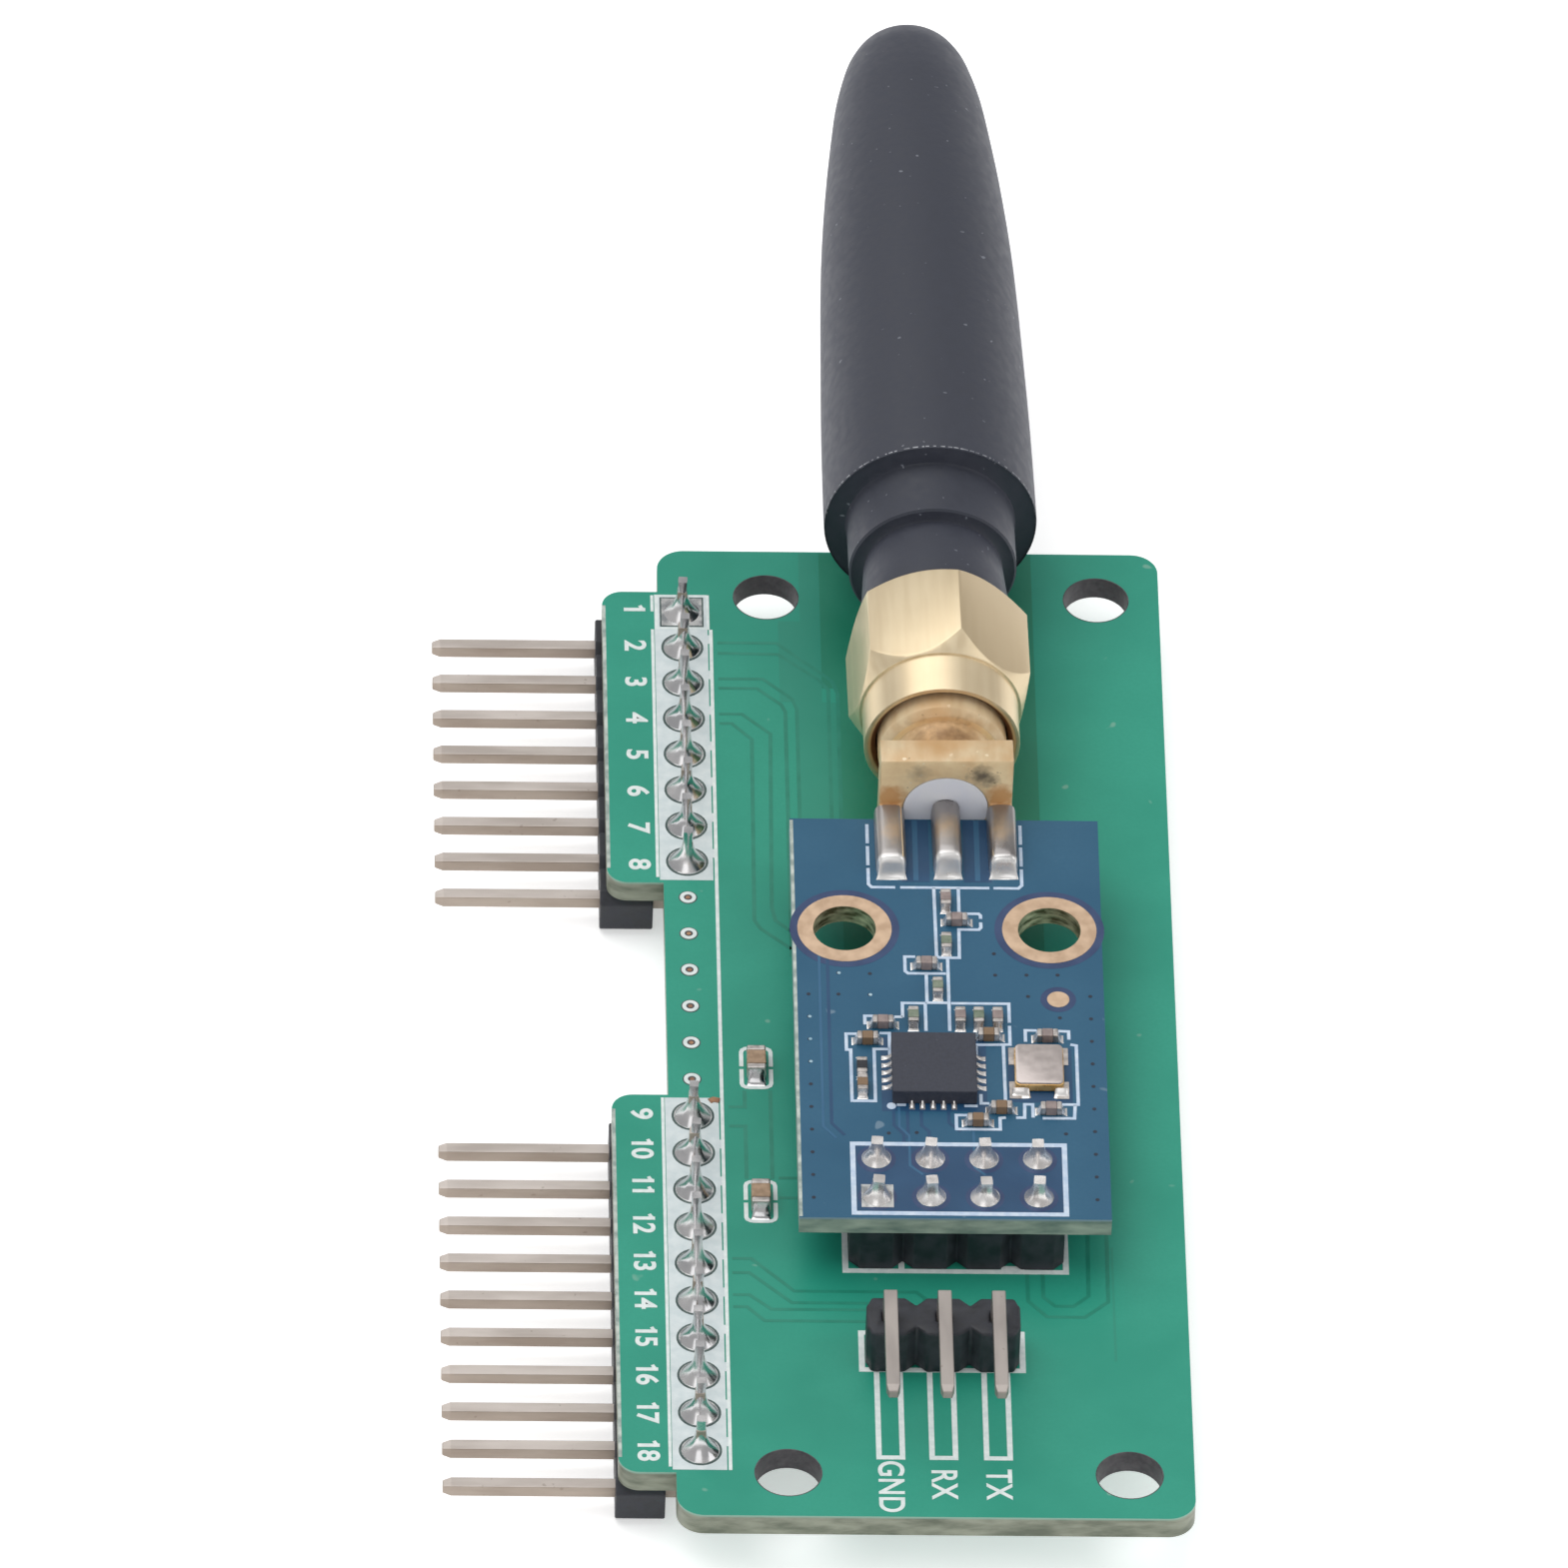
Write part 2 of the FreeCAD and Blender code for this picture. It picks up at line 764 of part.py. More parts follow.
def coil_tie():
    """Short bar that joins the coil's first turn to the pin's tail."""
    inner = plug_pin_diameter / 2
    half = coil_wire / 2
    y = coil_start + half
    return box(jack_x + inner, jack_x + coil_radius, y - half, y + half, axis_z - half, axis_z + half)


save("spring_coil", aim(spring_coil().fuse(coil_tie())))


# Boot: the outline is one curve, the inside follows the plug and the coil
def antenna_boot():
    bore = plug_stem_diameter / 2 + boot_bore_gap
    bore_end = coil_start + coil_wire + coil_pitch * coil_turns + coil_gap
    tip_centre = boot_tip - boot_tip_radius * math.sin(math.radians(boot_tip_to))

    def at(y, radius):
        return V(jack_x + radius, y, axis_z)

    def on_tip(degrees):
        angle = math.radians(degrees)
        return at(tip_centre + boot_tip_radius * math.sin(angle), boot_tip_radius * math.cos(angle))

    sides = [
        at(bore_end, 0),
        at(bore_end, bore),
        at(neck_front, bore),
        at(neck_front, neck_diameter / 2),
        at(collar_front, neck_diameter / 2),
        at(collar_front, boot_collar_diameter / 2),
        at(boot_front, boot_collar_diameter / 2),
        at(boot_front, boot_diameter / 2),
        at(boot_front + boot_skirt_length, boot_diameter / 2),
    ]
    sides += [at(boot_front + distance, diameter / 2) for distance, diameter in boot_taper]
    ring_turn = (boot_tip_to - boot_tip_from) / boot_tip_rings
    sides += [on_tip(boot_tip_from + ring * ring_turn) for ring in range(boot_tip_rings + 1)]
    sides.append(at(boot_tip, 0))
    outline = Part.Face(Part.makePolygon(sides + [sides[0]]))
    return outline.revolve(V(jack_x, 0, axis_z), Y_AXIS, 360)


save("antenna_boot", aim(antenna_boot()))
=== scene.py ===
import math
import random

import bmesh
import bpy
from mathutils import Matrix, Vector


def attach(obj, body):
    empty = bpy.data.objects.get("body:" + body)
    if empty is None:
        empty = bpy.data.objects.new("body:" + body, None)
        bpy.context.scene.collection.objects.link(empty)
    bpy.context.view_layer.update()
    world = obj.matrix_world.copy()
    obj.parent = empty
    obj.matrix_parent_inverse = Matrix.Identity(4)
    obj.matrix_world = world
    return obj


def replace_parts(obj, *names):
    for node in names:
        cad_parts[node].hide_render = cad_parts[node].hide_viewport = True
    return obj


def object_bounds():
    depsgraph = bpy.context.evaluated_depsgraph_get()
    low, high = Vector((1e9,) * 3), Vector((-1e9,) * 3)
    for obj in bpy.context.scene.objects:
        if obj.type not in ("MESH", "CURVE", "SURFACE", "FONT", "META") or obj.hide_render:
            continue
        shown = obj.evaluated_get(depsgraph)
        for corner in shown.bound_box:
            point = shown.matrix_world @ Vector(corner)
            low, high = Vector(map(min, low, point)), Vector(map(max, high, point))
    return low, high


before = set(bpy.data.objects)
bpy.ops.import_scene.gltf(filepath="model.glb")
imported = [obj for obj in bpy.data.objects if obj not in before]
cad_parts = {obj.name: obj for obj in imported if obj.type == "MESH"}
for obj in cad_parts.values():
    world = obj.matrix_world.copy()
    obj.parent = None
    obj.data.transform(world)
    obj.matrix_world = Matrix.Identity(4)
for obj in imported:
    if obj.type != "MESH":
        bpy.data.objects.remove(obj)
cad_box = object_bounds()

# The table and the lamps: a pale table top under the board, lit by one large soft lamp from above
# left, a weaker one from the right and an even white room. The camera stands far back, as in the
# photograph, and looks down along the board from its front.
MM = 0.001


def srgb(red, green, blue):
    """Linear colour of a shade given as it appears on a screen, 0 to 255."""
    shades = [value / 255 for value in (red, green, blue)]
    return tuple(s / 12.92 if s <= 0.04045 else ((s + 0.055) / 1.055) ** 2.4 for s in shades) + (1,)


def link(obj):
    bpy.context.scene.collection.objects.link(obj)
    return obj


def softbox(name, place, size, watts):
    """A square lamp that faces the middle of the object."""
    lamp = bpy.data.lights.new(name, "AREA")
    lamp.size = size
    lamp.energy = watts
    box = link(bpy.data.objects.new(name, lamp))
    box.location = place
    box.rotation_euler = (Vector((0, 0.01, 0)) - Vector(place)).to_track_quat("-Z", "Y").to_euler()


softbox("lamp_above", (-0.35, 0.3, 1.1), 1.2, 7.0)
softbox("lamp_right", (1.1, -0.3, 0.8), 0.9, 2.6)
softbox("lamp_front", (-0.3, -1.3, 0.9), 0.9, 2.2)

room = bpy.data.worlds.new("room")
room.use_nodes = True
room.node_tree.nodes["Background"].inputs["Color"].default_value = (1, 1, 1, 1)
room.node_tree.nodes["Background"].inputs["Strength"].default_value = 0.5
bpy.context.scene.world = room

table_paint = bpy.data.materials.new("table_paint")
table_paint.use_nodes = True
tree = table_paint.node_tree
paint = tree.nodes["Principled BSDF"]
paint.inputs["Base Color"].default_value = (0.93, 0.93, 0.93, 1)
paint.inputs["Roughness"].default_value = 0.9
glow = tree.nodes.new("ShaderNodeEmission")
both = tree.nodes.new("ShaderNodeAddShader")
ray = tree.nodes.new("ShaderNodeLightPath")
seen = ray.outputs["Is Camera Ray"]
for kind in ("Is Glossy Ray", "Is Transmission Ray"):
    either = tree.nodes.new("ShaderNodeMath")
    either.operation = "MAXIMUM"
    tree.links.new(seen, either.inputs[0])
    tree.links.new(ray.outputs[kind], either.inputs[1])
    seen = either.outputs[0]
dim = tree.nodes.new("ShaderNodeMath")
dim.operation = "MULTIPLY"
dim.inputs[1].default_value = 0.5
tree.links.new(seen, dim.inputs[0])
tree.links.new(dim.outputs[0], glow.inputs["Strength"])
tree.links.new(paint.outputs[0], both.inputs[0])
tree.links.new(glow.outputs[0], both.inputs[1])
tree.links.new(both.outputs[0], tree.nodes["Material Output"].inputs["Surface"])

table_top = bpy.data.meshes.new("table_top")
reach = 6.0
level = cad_box[0][2]
corners = [(-reach, -reach, level), (reach, -reach, level), (reach, reach, level), (-reach, reach, level)]
table_top.from_pydata(corners, [], [(0, 1, 2, 3)])
table_top.materials.append(table_paint)
table = link(bpy.data.objects.new("table", table_top))

lens = bpy.data.cameras.new("camera")
lens.lens = 635.7
lens.sensor_width = 36
lens.clip_end = 20
camera = link(bpy.data.objects.new("camera", lens))
camera.location = (-0.051047, -0.962842, 0.90137)
camera.rotation_euler = [math.radians(angle) for angle in (47.4373, -1.6629, -1.0263)]
bpy.context.scene.camera = camera
bpy.context.scene.view_settings.view_transform = "Standard"

# The carrier board: a 1.2 mm plate of glass-fibre laminate with green solder lacquer on both faces
# and bare, streaked edges. Tracks show as slightly raised, darker lines under the lacquer, and the
# print is thick white ink.
CARRIER_TOP = 1.2
EDGE_ROW_X = -12.1
PITCH = 2.54


def group_socket(tree, name, kind, way="INPUT", value=None):
    socket = tree.interface.new_socket(name, in_out=way, socket_type="NodeSocket" + kind)
    if value is not None:
        socket.default_value = value
    return socket


def grain_group():
    """Shader group: soft noise as a mask from 0 to 1 and as a height, on object coordinates."""
    tree = bpy.data.node_groups.new("surface_grain", "ShaderNodeTree")
    group_socket(tree, "Vector", "Vector")
    for name, value in {"Scale": 1000, "Detail": 3, "Low": 0.35, "High": 0.65}.items():
        group_socket(tree, name, "Float", value=value)
    for name in ("Mask", "Height"):
        group_socket(tree, name, "Float", "OUTPUT")
    entry = tree.nodes.new("NodeGroupInput")
    leave = tree.nodes.new("NodeGroupOutput")
    noise = tree.nodes.new("ShaderNodeTexNoise")
    span = tree.nodes.new("ShaderNodeMapRange")
    for name in ("Vector", "Scale", "Detail"):
        tree.links.new(entry.outputs[name], noise.inputs[name])
    for name, end in (("Low", "From Min"), ("High", "From Max")):
        tree.links.new(entry.outputs[name], span.inputs[end])
    tree.links.new(noise.outputs["Fac"], span.inputs["Value"])
    tree.links.new(span.outputs["Result"], leave.inputs["Mask"])
    tree.links.new(noise.outputs["Fac"], leave.inputs["Height"])
    return tree


surface_grain = grain_group()


class Finish:
    """A Principled material whose colour, roughness and bump vary with the surface grain."""

    def __init__(self, name, one, other, rough=(0.4, 0.5), metal=0.0, scale=900, bump=0.1, stretch=(1, 1, 1)):
        self.material = bpy.data.materials.new(name)
        self.material.use_nodes = True
        self.tree = self.material.node_tree
        self.shader = self.tree.nodes["Principled BSDF"]
        self.shader.inputs["Metallic"].default_value = metal
        self.point = self.tree.nodes.new("ShaderNodeTexCoord").outputs["Object"]
        mapping = self.add("ShaderNodeMapping", Vector=self.point)
        mapping.inputs["Scale"].default_value = stretch
        self.place = mapping.outputs["Vector"]
        self.grain = self.pattern(scale)
        self.colour = self.blend(self.grain.outputs["Mask"], one, other)
        spread = self.add("ShaderNodeMapRange", Value=self.grain.outputs["Mask"])
        spread.inputs["To Min"].default_value, spread.inputs["To Max"].default_value = rough
        self.rough = spread.outputs["Result"]
        self.bump = self.add("ShaderNodeBump", Height=self.grain.outputs["Height"])
        self.bump.inputs["Strength"].default_value = bump
        self.bump.inputs["Distance"].default_value = 0.0001
        self.tree.links.new(self.colour, self.shader.inputs["Base Color"])
        self.tree.links.new(self.rough, self.shader.inputs["Roughness"])
        self.tree.links.new(self.bump.outputs["Normal"], self.shader.inputs["Normal"])

    def add(self, kind, **links):
        made = self.tree.nodes.new(kind)
        for name, source in links.items():
            self.tree.links.new(source, made.inputs[name])
        return made

    def pattern(self, scale, low=0.35, high=0.65, detail=3, place=None):
        made = self.tree.nodes.new("ShaderNodeGroup")
        made.node_tree = surface_grain
        self.tree.links.new(place or self.place, made.inputs["Vector"])
        for name, value in (("Scale", scale), ("Low", low), ("High", high), ("Detail", detail)):
            made.inputs[name].default_value = value
        return made

    def blend(self, factor, one, other):
        """Colour one where the factor is 0, the other where it is 1. Each is a screen shade or a socket."""
        made = self.tree.nodes.new("ShaderNodeMix")
        made.data_type = "RGBA"
        self.tree.links.new(factor, made.inputs["Factor"])
        for index, colour in ((6, one), (7, other)):
            if isinstance(colour, tuple):
                made.inputs[index].default_value = srgb(*colour)
            else:
                self.tree.links.new(colour, made.inputs[index])
        return made.outputs[2]

    def sum(self, kind, *values):
        """Result of one math operation on sockets or numbers."""
        made = self.tree.nodes.new("ShaderNodeMath")
        made.operation = kind
        for index, value in enumerate(values):
            if isinstance(value, (int, float)):
                made.inputs[index].default_value = value
            else:
                self.tree.links.new(value, made.inputs[index])
        return made.outputs[0]

    def ramp(self, value, start, end):
        """0 where the value is at start, 1 where it is at end, held outside them."""
        made = self.add("ShaderNodeMapRange", Value=value)
        made.inputs["From Min"].default_value = start
        made.inputs["From Max"].default_value = end
        return made.outputs["Result"]

    def sides(self):
        """Mask that is 1 on upright faces and 0 on level ones."""
        normal = self.tree.nodes.new("ShaderNodeNewGeometry").outputs["Normal"]
        parts = self.add("ShaderNodeSeparateXYZ", Vector=normal)
        return self.sum("LESS_THAN", self.sum("ABSOLUTE", parts.outputs["Z"]), 0.7)

    def above(self, start, end):
        """Mask that rises from 0 to 1 between two heights in millimetres."""
        height = self.add("ShaderNodeSeparateXYZ", Vector=self.point).outputs["Z"]
        return self.ramp(height, start * MM, end * MM)

    def facing_way(self, way, start, end):
        """Mask that rises from 0 to 1 as the surface turns towards a direction."""
        normal = self.tree.nodes.new("ShaderNodeNewGeometry").outputs["Normal"]
        turn = self.add("ShaderNodeVectorMath")
        turn.operation = "DOT_PRODUCT"
        self.tree.links.new(normal, turn.inputs[0])
        turn.inputs[1].default_value = way
        return self.ramp(turn.outputs["Value"], start, end)

    def spot(self, centre, radius, ragged=0.8, soft=0.55):
        """Mask that is 1 round a point in millimetres and falls to 0 at the radius, with a ragged rim."""
        gap = self.add("ShaderNodeVectorMath")
        gap.operation = "DISTANCE"
        self.tree.links.new(self.point, gap.inputs[0])
        gap.inputs[1].default_value = Vector(centre) * MM
        noise = self.pattern(2.2 / (radius * MM), place=self.point)
        wave = self.sum("MULTIPLY", self.sum("SUBTRACT", noise.outputs["Height"], 0.5), ragged * radius * MM)
        return self.ramp(self.sum("ADD", gap.outputs["Value"], wave), radius * MM, soft * radius * MM)

    def stain(self, mask, colour, strength=1.0):
        """Lay a colour over what the material shows so far."""
        if strength < 1:
            mask = self.sum("MULTIPLY", mask, strength)
        self.colour = self.blend(mask, self.colour, colour)
        self.show(self.colour)

    def specks(self, scale, amount, colour, strength=1.0):
        """Small scattered flecks of another colour."""
        flecks = self.pattern(scale, 1 - amount, 1.04 - amount, 1, self.point)
        self.stain(flecks.outputs["Mask"], colour, strength)

    def show(self, colour):
        self.tree.links.new(colour, self.shader.inputs["Base Color"])


def lacquered_board(name, one, other, edge_one, edge_other, fleck, top):
    """Solder lacquer on the faces of a board, and bare mottled laminate under a pale rim on its edges."""
    finish = Finish(name, one, other, rough=(0.34, 0.42), bump=0.03, scale=160)
    weave = finish.pattern(5200, 0.3, 0.7, 2)
    finish.stain(weave.outputs["Mask"], one, 0.35)
    finish.specks(900, 0.24, fleck, 0.5)
    layers = finish.add("ShaderNodeMapping", Vector=finish.point)
    layers.inputs["Scale"].default_value = (0.45, 0.45, 1.6)
    mottle = finish.pattern(1300, 0.32, 0.68, 5, layers.outputs["Vector"])
    laminate = finish.blend(mottle.outputs["Mask"], edge_one, edge_other)
    laminate = finish.blend(finish.above(top - 0.16, top - 0.06), laminate, fleck)
    finish.stain(finish.sides(), laminate)
    finish.shader.inputs["Specular IOR Level"].default_value = 0.4
    return finish


def dress(finish, *names):
    """Give CAD nodes a finish in place of their own material."""
    for name in names:
        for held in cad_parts[name].material_slots:
            held.material = finish.material


def piece_from(shape, name, finish, place=Matrix(), smooth=None):
    """Turn a bmesh in millimetres into a finished piece that rides on the module."""
    bmesh.ops.transform(shape, matrix=Matrix.Scale(MM, 4) @ place, verts=shape.verts)
    for edge in shape.edges:
        edge.smooth = smooth is not None and edge.calc_face_angle(0) < math.radians(smooth)
    for face in shape.faces:
        face.smooth = smooth is not None
    mesh = bpy.data.meshes.new(name)
    shape.to_mesh(mesh)
    shape.free()
    mesh.materials.append(finish.material)
    piece = link(bpy.data.objects.new(name, mesh))
    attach(piece, "root")
    return piece


def bridge(shape, rings, ends=True):
    """A skin from each closed ring of points to the next, and over both ends. A ring of one point is a pole."""
    rings = [[shape.verts.new(point) for point in ring] for ring in rings]
    if not ends:
        rings.append(rings[0])
    for one, other in zip(rings, rings[1:]):
        count = max(len(one), len(other))
        for i in range(count):
            j = (i + 1) % count
            around = [one[i % len(one)], one[j % len(one)], other[j % len(other)], other[i % len(other)]]
            shape.faces.new(list(dict.fromkeys(around)))
    for end in (rings[0][::-1], rings[-1]) if ends else ():
        if len(end) > 1:
            shape.faces.new(end)


def slab(shape, x0, x1, y0, y1, z0, z1):
    """A box between the given sides."""
    bridge(shape, [[(x0, y0, z), (x1, y0, z), (x1, y1, z), (x0, y1, z)] for z in (z0, z1)])


def pad(shape, x, y, half_x, half_y, z0, z1):
    """A box round a middle, with its half sizes."""
    slab(shape, x - half_x, x + half_x, y - half_y, y + half_y, z0, z1)


def washer(shape, x, y, inner, outer, z0, z1, corners=28):
    """A flat ring, or a disc where the inner radius is 0."""
    turns = [2 * math.pi * (i + 0.5) / corners for i in range(corners)]
    rings = [
        [(x + radius * math.cos(turn), y + radius * math.sin(turn), z) for turn in turns]
        for radius, z in ((outer, z0), (outer, z1), (inner, z1), (inner, z0)) if radius
    ]
    bridge(shape, rings, ends=not inner)


def outline(shape, x0, x1, y0, y1, width, z0, z1):
    """Four bars that frame a rectangle, inside its sides."""
    slab(shape, x0, x1, y0, y0 + width, z0, z1)
    slab(shape, x0, x1, y1 - width, y1, z0, z1)
    slab(shape, x0, x0 + width, y0 + width, y1 - width, z0, z1)
    slab(shape, x1 - width, x1, y0 + width, y1 - width, z0, z1)


def track(shape, points, width, z0, z1):
    """A bar of even width that follows points in the plane, with mitred corners."""
    points = [Vector(point) for point in points]
    rings = []
    for i, point in enumerate(points):
        before = (point - points[i - 1]).normalized() if i else None
        after = (points[i + 1] - point).normalized() if i + 1 < len(points) else None
        along = ((before or after) + (after or before)).normalized()
        across = Vector((-along.y, along.x))
        square = Vector((-(after or before).y, (after or before).x))
        half = across * (width / 2 / max(0.3, abs(across.dot(square))))
        (x0, y0), (x1, y1) = point + half, point - half
        rings.append([(x0, y0, z0), (x0, y0, z1), (x1, y1, z1), (x1, y1, z0)])
    bridge(shape, rings)


def lettering(shape, words, x, y, height, z, squeeze=1.0, bold=0.045, thickness=0.012):
    """Letters that read towards -Y with their tops to +X, centred on x and y."""
    curve = bpy.data.curves.new("letters", "FONT")
    curve.body = words
    curve.size = height / 0.7
    curve.extrude = thickness
    curve.offset = height * bold
    curve.space_character = 1.06
    curve.align_x = "CENTER"
    curve.align_y = "CENTER"
    holder = link(bpy.data.objects.new("letters", curve))
    bpy.context.view_layer.update()
    mesh = bpy.data.meshes.new_from_object(holder.evaluated_get(bpy.context.evaluated_depsgraph_get()))
    mesh.transform(Matrix.Scale(squeeze, 4, (1, 0, 0)))
    mesh.transform(Matrix.Translation((x, y, z)) @ Matrix.Rotation(-math.pi / 2, 4, "Z"))
    shape.from_mesh(mesh)
    bpy.data.objects.remove(holder)
    bpy.data.curves.remove(curve)
    bpy.data.meshes.remove(mesh)


green_lacquer = lacquered_board(
    "green_lacquer", (38, 151, 127), (47, 161, 136), (106, 114, 97), (162, 167, 149),
    (150, 190, 172), CARRIER_TOP
)
dress(green_lacquer, "carrier_board")
LACQUER = {"rough": (0.34, 0.42), "bump": 0.03}
white_ink = Finish("white_ink", (222, 234, 232), (240, 247, 245), rough=(0.5, 0.65), scale=2500, bump=0.15)
grey_ink = Finish("grey_ink", (210, 222, 224), (224, 233, 234), rough=(0.45, 0.6), scale=1800, bump=0.15)
dark_copper = Finish("dark_copper", (58, 78, 76), (82, 102, 98), rough=(0.3, 0.45), scale=3000)
tinned_copper = Finish(
    "tinned_copper", (176, 180, 182), (214, 214, 212), rough=(0.2, 0.35), metal=1.0, scale=2200
)
track_gap = Finish("track_gap", (30, 134, 111), (37, 142, 119), scale=900, **LACQUER)
bare_zone = Finish("bare_zone", (20, 128, 100), (28, 138, 110), scale=160, **LACQUER)
thin_zone = Finish("thin_zone", (33, 142, 119), (40, 150, 126), scale=160, **LACQUER)


def layer(rise, top=CARRIER_TOP):
    """Heights of the underside and the top of a thin layer on a board."""
    return top, top + rise


INK = layer(0.025)
FILM = layer(0.006)

# Where the copper leaves the lacquer darker: the zone under the antenna, a band beside it, and the
# gaps on both sides of each track.
shape = bmesh.new()
track(shape, [(-0.25, 33.7), (-0.25, 24.0)], 10.3, *layer(0.004))
track(shape, [(0.1, 24.0), (0.1, -10.0)], 9.6, *layer(0.004))
piece_from(shape, "bare_zone", bare_zone)
shape = bmesh.new()
slab(shape, -6.38, -5.4, 28.8, 33.7, *layer(0.003))
slab(shape, -7.45, -5.4, 23.0, 28.8, *layer(0.003))
slab(shape, -6.64, -4.7, -11.0, 23.0, *layer(0.003))
slab(shape, 7.5, 7.62, -22.8, -15.0, *layer(0.003))
piece_from(shape, "thin_zone", thin_zone)

shape = bmesh.new()
for points in (
    [(-10.4, 27.2), (-7.55, 27.2), (-5.6, 25.25), (-4.9, 24.5), (-4.65, 23.6), (-4.65, 12.0)],
    [(-10.4, 26.45), (-7.5, 26.4), (-5.55, 24.6), (-5.1, 23.9), (-5.1, 12.0)],
    [(-10.4, 24.62), (-8.25, 24.62), (-6.85, 23.2), (-6.64, 22.5), (-6.64, 6.0)],
    [(-10.4, 23.94), (-8.55, 23.94), (-7.4, 22.8), (-7.2, 22.3), (-7.2, 5.0)],
    [(-10.4, 22.1), (-9.3, 22.1), (-7.95, 20.7), (-8.1, 8.4), (-7.95, 7.5), (-7.2, 6.75)],
    [(-10.4, 21.42), (-9.8, 21.42), (-8.85, 20.3), (-8.95, 7.5), (-8.65, 6.9), (-7.2, 5.5)],
    [(-10.4, -5.55), (-9.62, -5.55), (-9.62, -4.4)],
    [(-10.4, -6.87), (-9.62, -6.87), (-9.62, -10.5)],
    [(-8.4, -4.4), (-8.4, -10.5)],
    [(-8.1, -10.43), (-7.1, -10.43)],
    [(-8.1, -11.8), (-7.1, -11.8)],
    [(-10.4, -15.98), (-9.5, -15.98), (-7.5, -18.18), (-1.75, -18.18), (-1.35, -18.6), (-1.35, -21.5)],
    [(-10.4, -16.95), (-9.6, -16.95), (-7.63, -18.97), (-2.4, -18.97)],
    [(-10.4, -18.46), (-9.62, -18.46), (-8.6, -19.43), (-3.2, -19.43)],
    [(-10.4, -19.28), (-9.75, -19.28), (-8.93, -20.22), (-3.2, -20.22)],
    [(3.52, -14.0), (3.52, -18.72), (4.4, -19.8), (6.18, -19.8), (7.3, -18.75), (7.36, -12.0)],
    [(4.25, -14.0), (4.25, -18.45), (4.8, -19.06), (5.66, -19.06), (6.38, -18.36), (6.48, -12.0)],
):
    track(shape, points, 0.19, *FILM)
piece_from(shape, "track_gaps", track_gap)

# The print: numbers beside the pins, a pale block under their pads with a line along it, brackets
# round the two capacitors, and the frames and words of the two headers.


def pin_number(shape, number, y):
    """A number beside a pin, whose ones carry a short flag. The numbers stand a little wider than the pins."""
    digits = str(number)
    drift = 0.055 * (number - 2) if number < 9 else 0.037 * max(0, number - 10)
    foot = EDGE_ROW_X - (2.33 if number < 9 else 2.48)
    for place, digit in enumerate(digits):
        middle = y + 0.12 + 0.5 * (len(digits) - 1) - 0.7 * place - drift
        squeeze = 1.09 if len(digits) == 1 else 1.04
        lettering(shape, digit, foot, middle, 1.0, CARRIER_TOP + 0.012, squeeze, 0.035)
        if digit == "1":
            top = foot + 0.49
            track(shape, [(top, middle), (top - 0.1, middle + 0.12), (top - 0.18, middle + 0.28)], 0.17, *INK)


edge_pin_rows = {"rear": [29.35 - PITCH * i for i in range(8)], "front": [-6.21 - PITCH * i for i in range(10)]}
serial_columns = [-0.63 + PITCH * i for i in (-1, 0, 1)]
link_columns = [0.18 + PITCH * (i - 1.5) for i in range(4)]
spare_holes = [y + 0.17 for y in (8.89, 6.35, 3.81, 1.27, -1.27, -3.81)]

lines = bmesh.new()
block = bmesh.new()
pads = bmesh.new()
rims = bmesh.new()
number = 1
for rows in edge_pin_rows.values():
    first, last = rows[0], rows[-1]
    for y in rows:
        pin_number(lines, number, y)
        if number == 1:
            pad(rims, EDGE_ROW_X, y, 1.06, 1.06, *layer(0.03))
            pad(pads, EDGE_ROW_X, y, 0.98, 0.98, *layer(0.04))
        else:
            washer(rims, EDGE_ROW_X, y, 0.0, 1.02, *layer(0.03))
            washer(pads, EDGE_ROW_X, y, 0.0, 0.91, *layer(0.04))
        number += 1
    slab(block, EDGE_ROW_X - 1.32, EDGE_ROW_X + 1.24, last - 1.3, first + 1.25, *INK)
    top = first - 1.25 if first > 0 else first + 1.25
    slab(lines, EDGE_ROW_X - 1.5, EDGE_ROW_X - 1.35, last - 1.1, top, *INK)
    for y in rows[1:]:
        slab(block, EDGE_ROW_X + 1.24, EDGE_ROW_X + 1.31, y + 0.3, y + 0.9, *INK)
outline(lines, EDGE_ROW_X - 1.28, EDGE_ROW_X + 1.34, 28.12, 30.58, 0.14, *layer(0.03))
slab(lines, EDGE_ROW_X - 1.5, EDGE_ROW_X - 1.36, 29.4, 30.55, *INK)
slab(lines, EDGE_ROW_X + 1.31, EDGE_ROW_X + 1.48, edge_pin_rows["front"][-1] - 1.3, 28.1, *INK)
for y in spare_holes:
    washer(lines, EDGE_ROW_X, y, 0.2, 0.39, *INK)
    washer(rims, EDGE_ROW_X, y, 0, 0.45, *layer(0.004))
for x, y in ((-9.04, -2.84), (-8.98, -12.07)):
    for way in (-1, 1):
        arm = [(0.7, 0.1), (0.7, 1.08), (0.65, 1.24), (0.5, 1.34), (0.32, 1.37)]
        half_bracket = [(x - a, y + way * b) for a, b in arm] + [(x + a, y + way * b) for a, b in arm[::-1]]
        track(lines, half_bracket, 0.2, *INK)
outline(lines, -5.2, 5.5, -16.9, -11.49, 0.28, *INK)
slab(lines, -2.55, -2.27, -16.62, -16.1, *INK)
slab(lines, 2.3, 3.4, -16.62, -16.38, *INK)
outline(lines, -4.55, 3.3, -23.64, -20.85, 0.28, *INK)
for x, words in ((-3.18, "GND"), (-0.69, "RX"), (1.87, "TX")):
    track(lines, [(x - 0.55, -23.5), (x - 0.55, -29.44), (x + 0.55, -29.44), (x + 0.55, -23.5)], 0.26, *INK)
    lettering(lines, words, x - 0.07, -31.4 if words == "GND" else -31.2, 1.2, CARRIER_TOP + 0.012, 0.88, 0.02)
piece_from(lines, "carrier_print", white_ink)
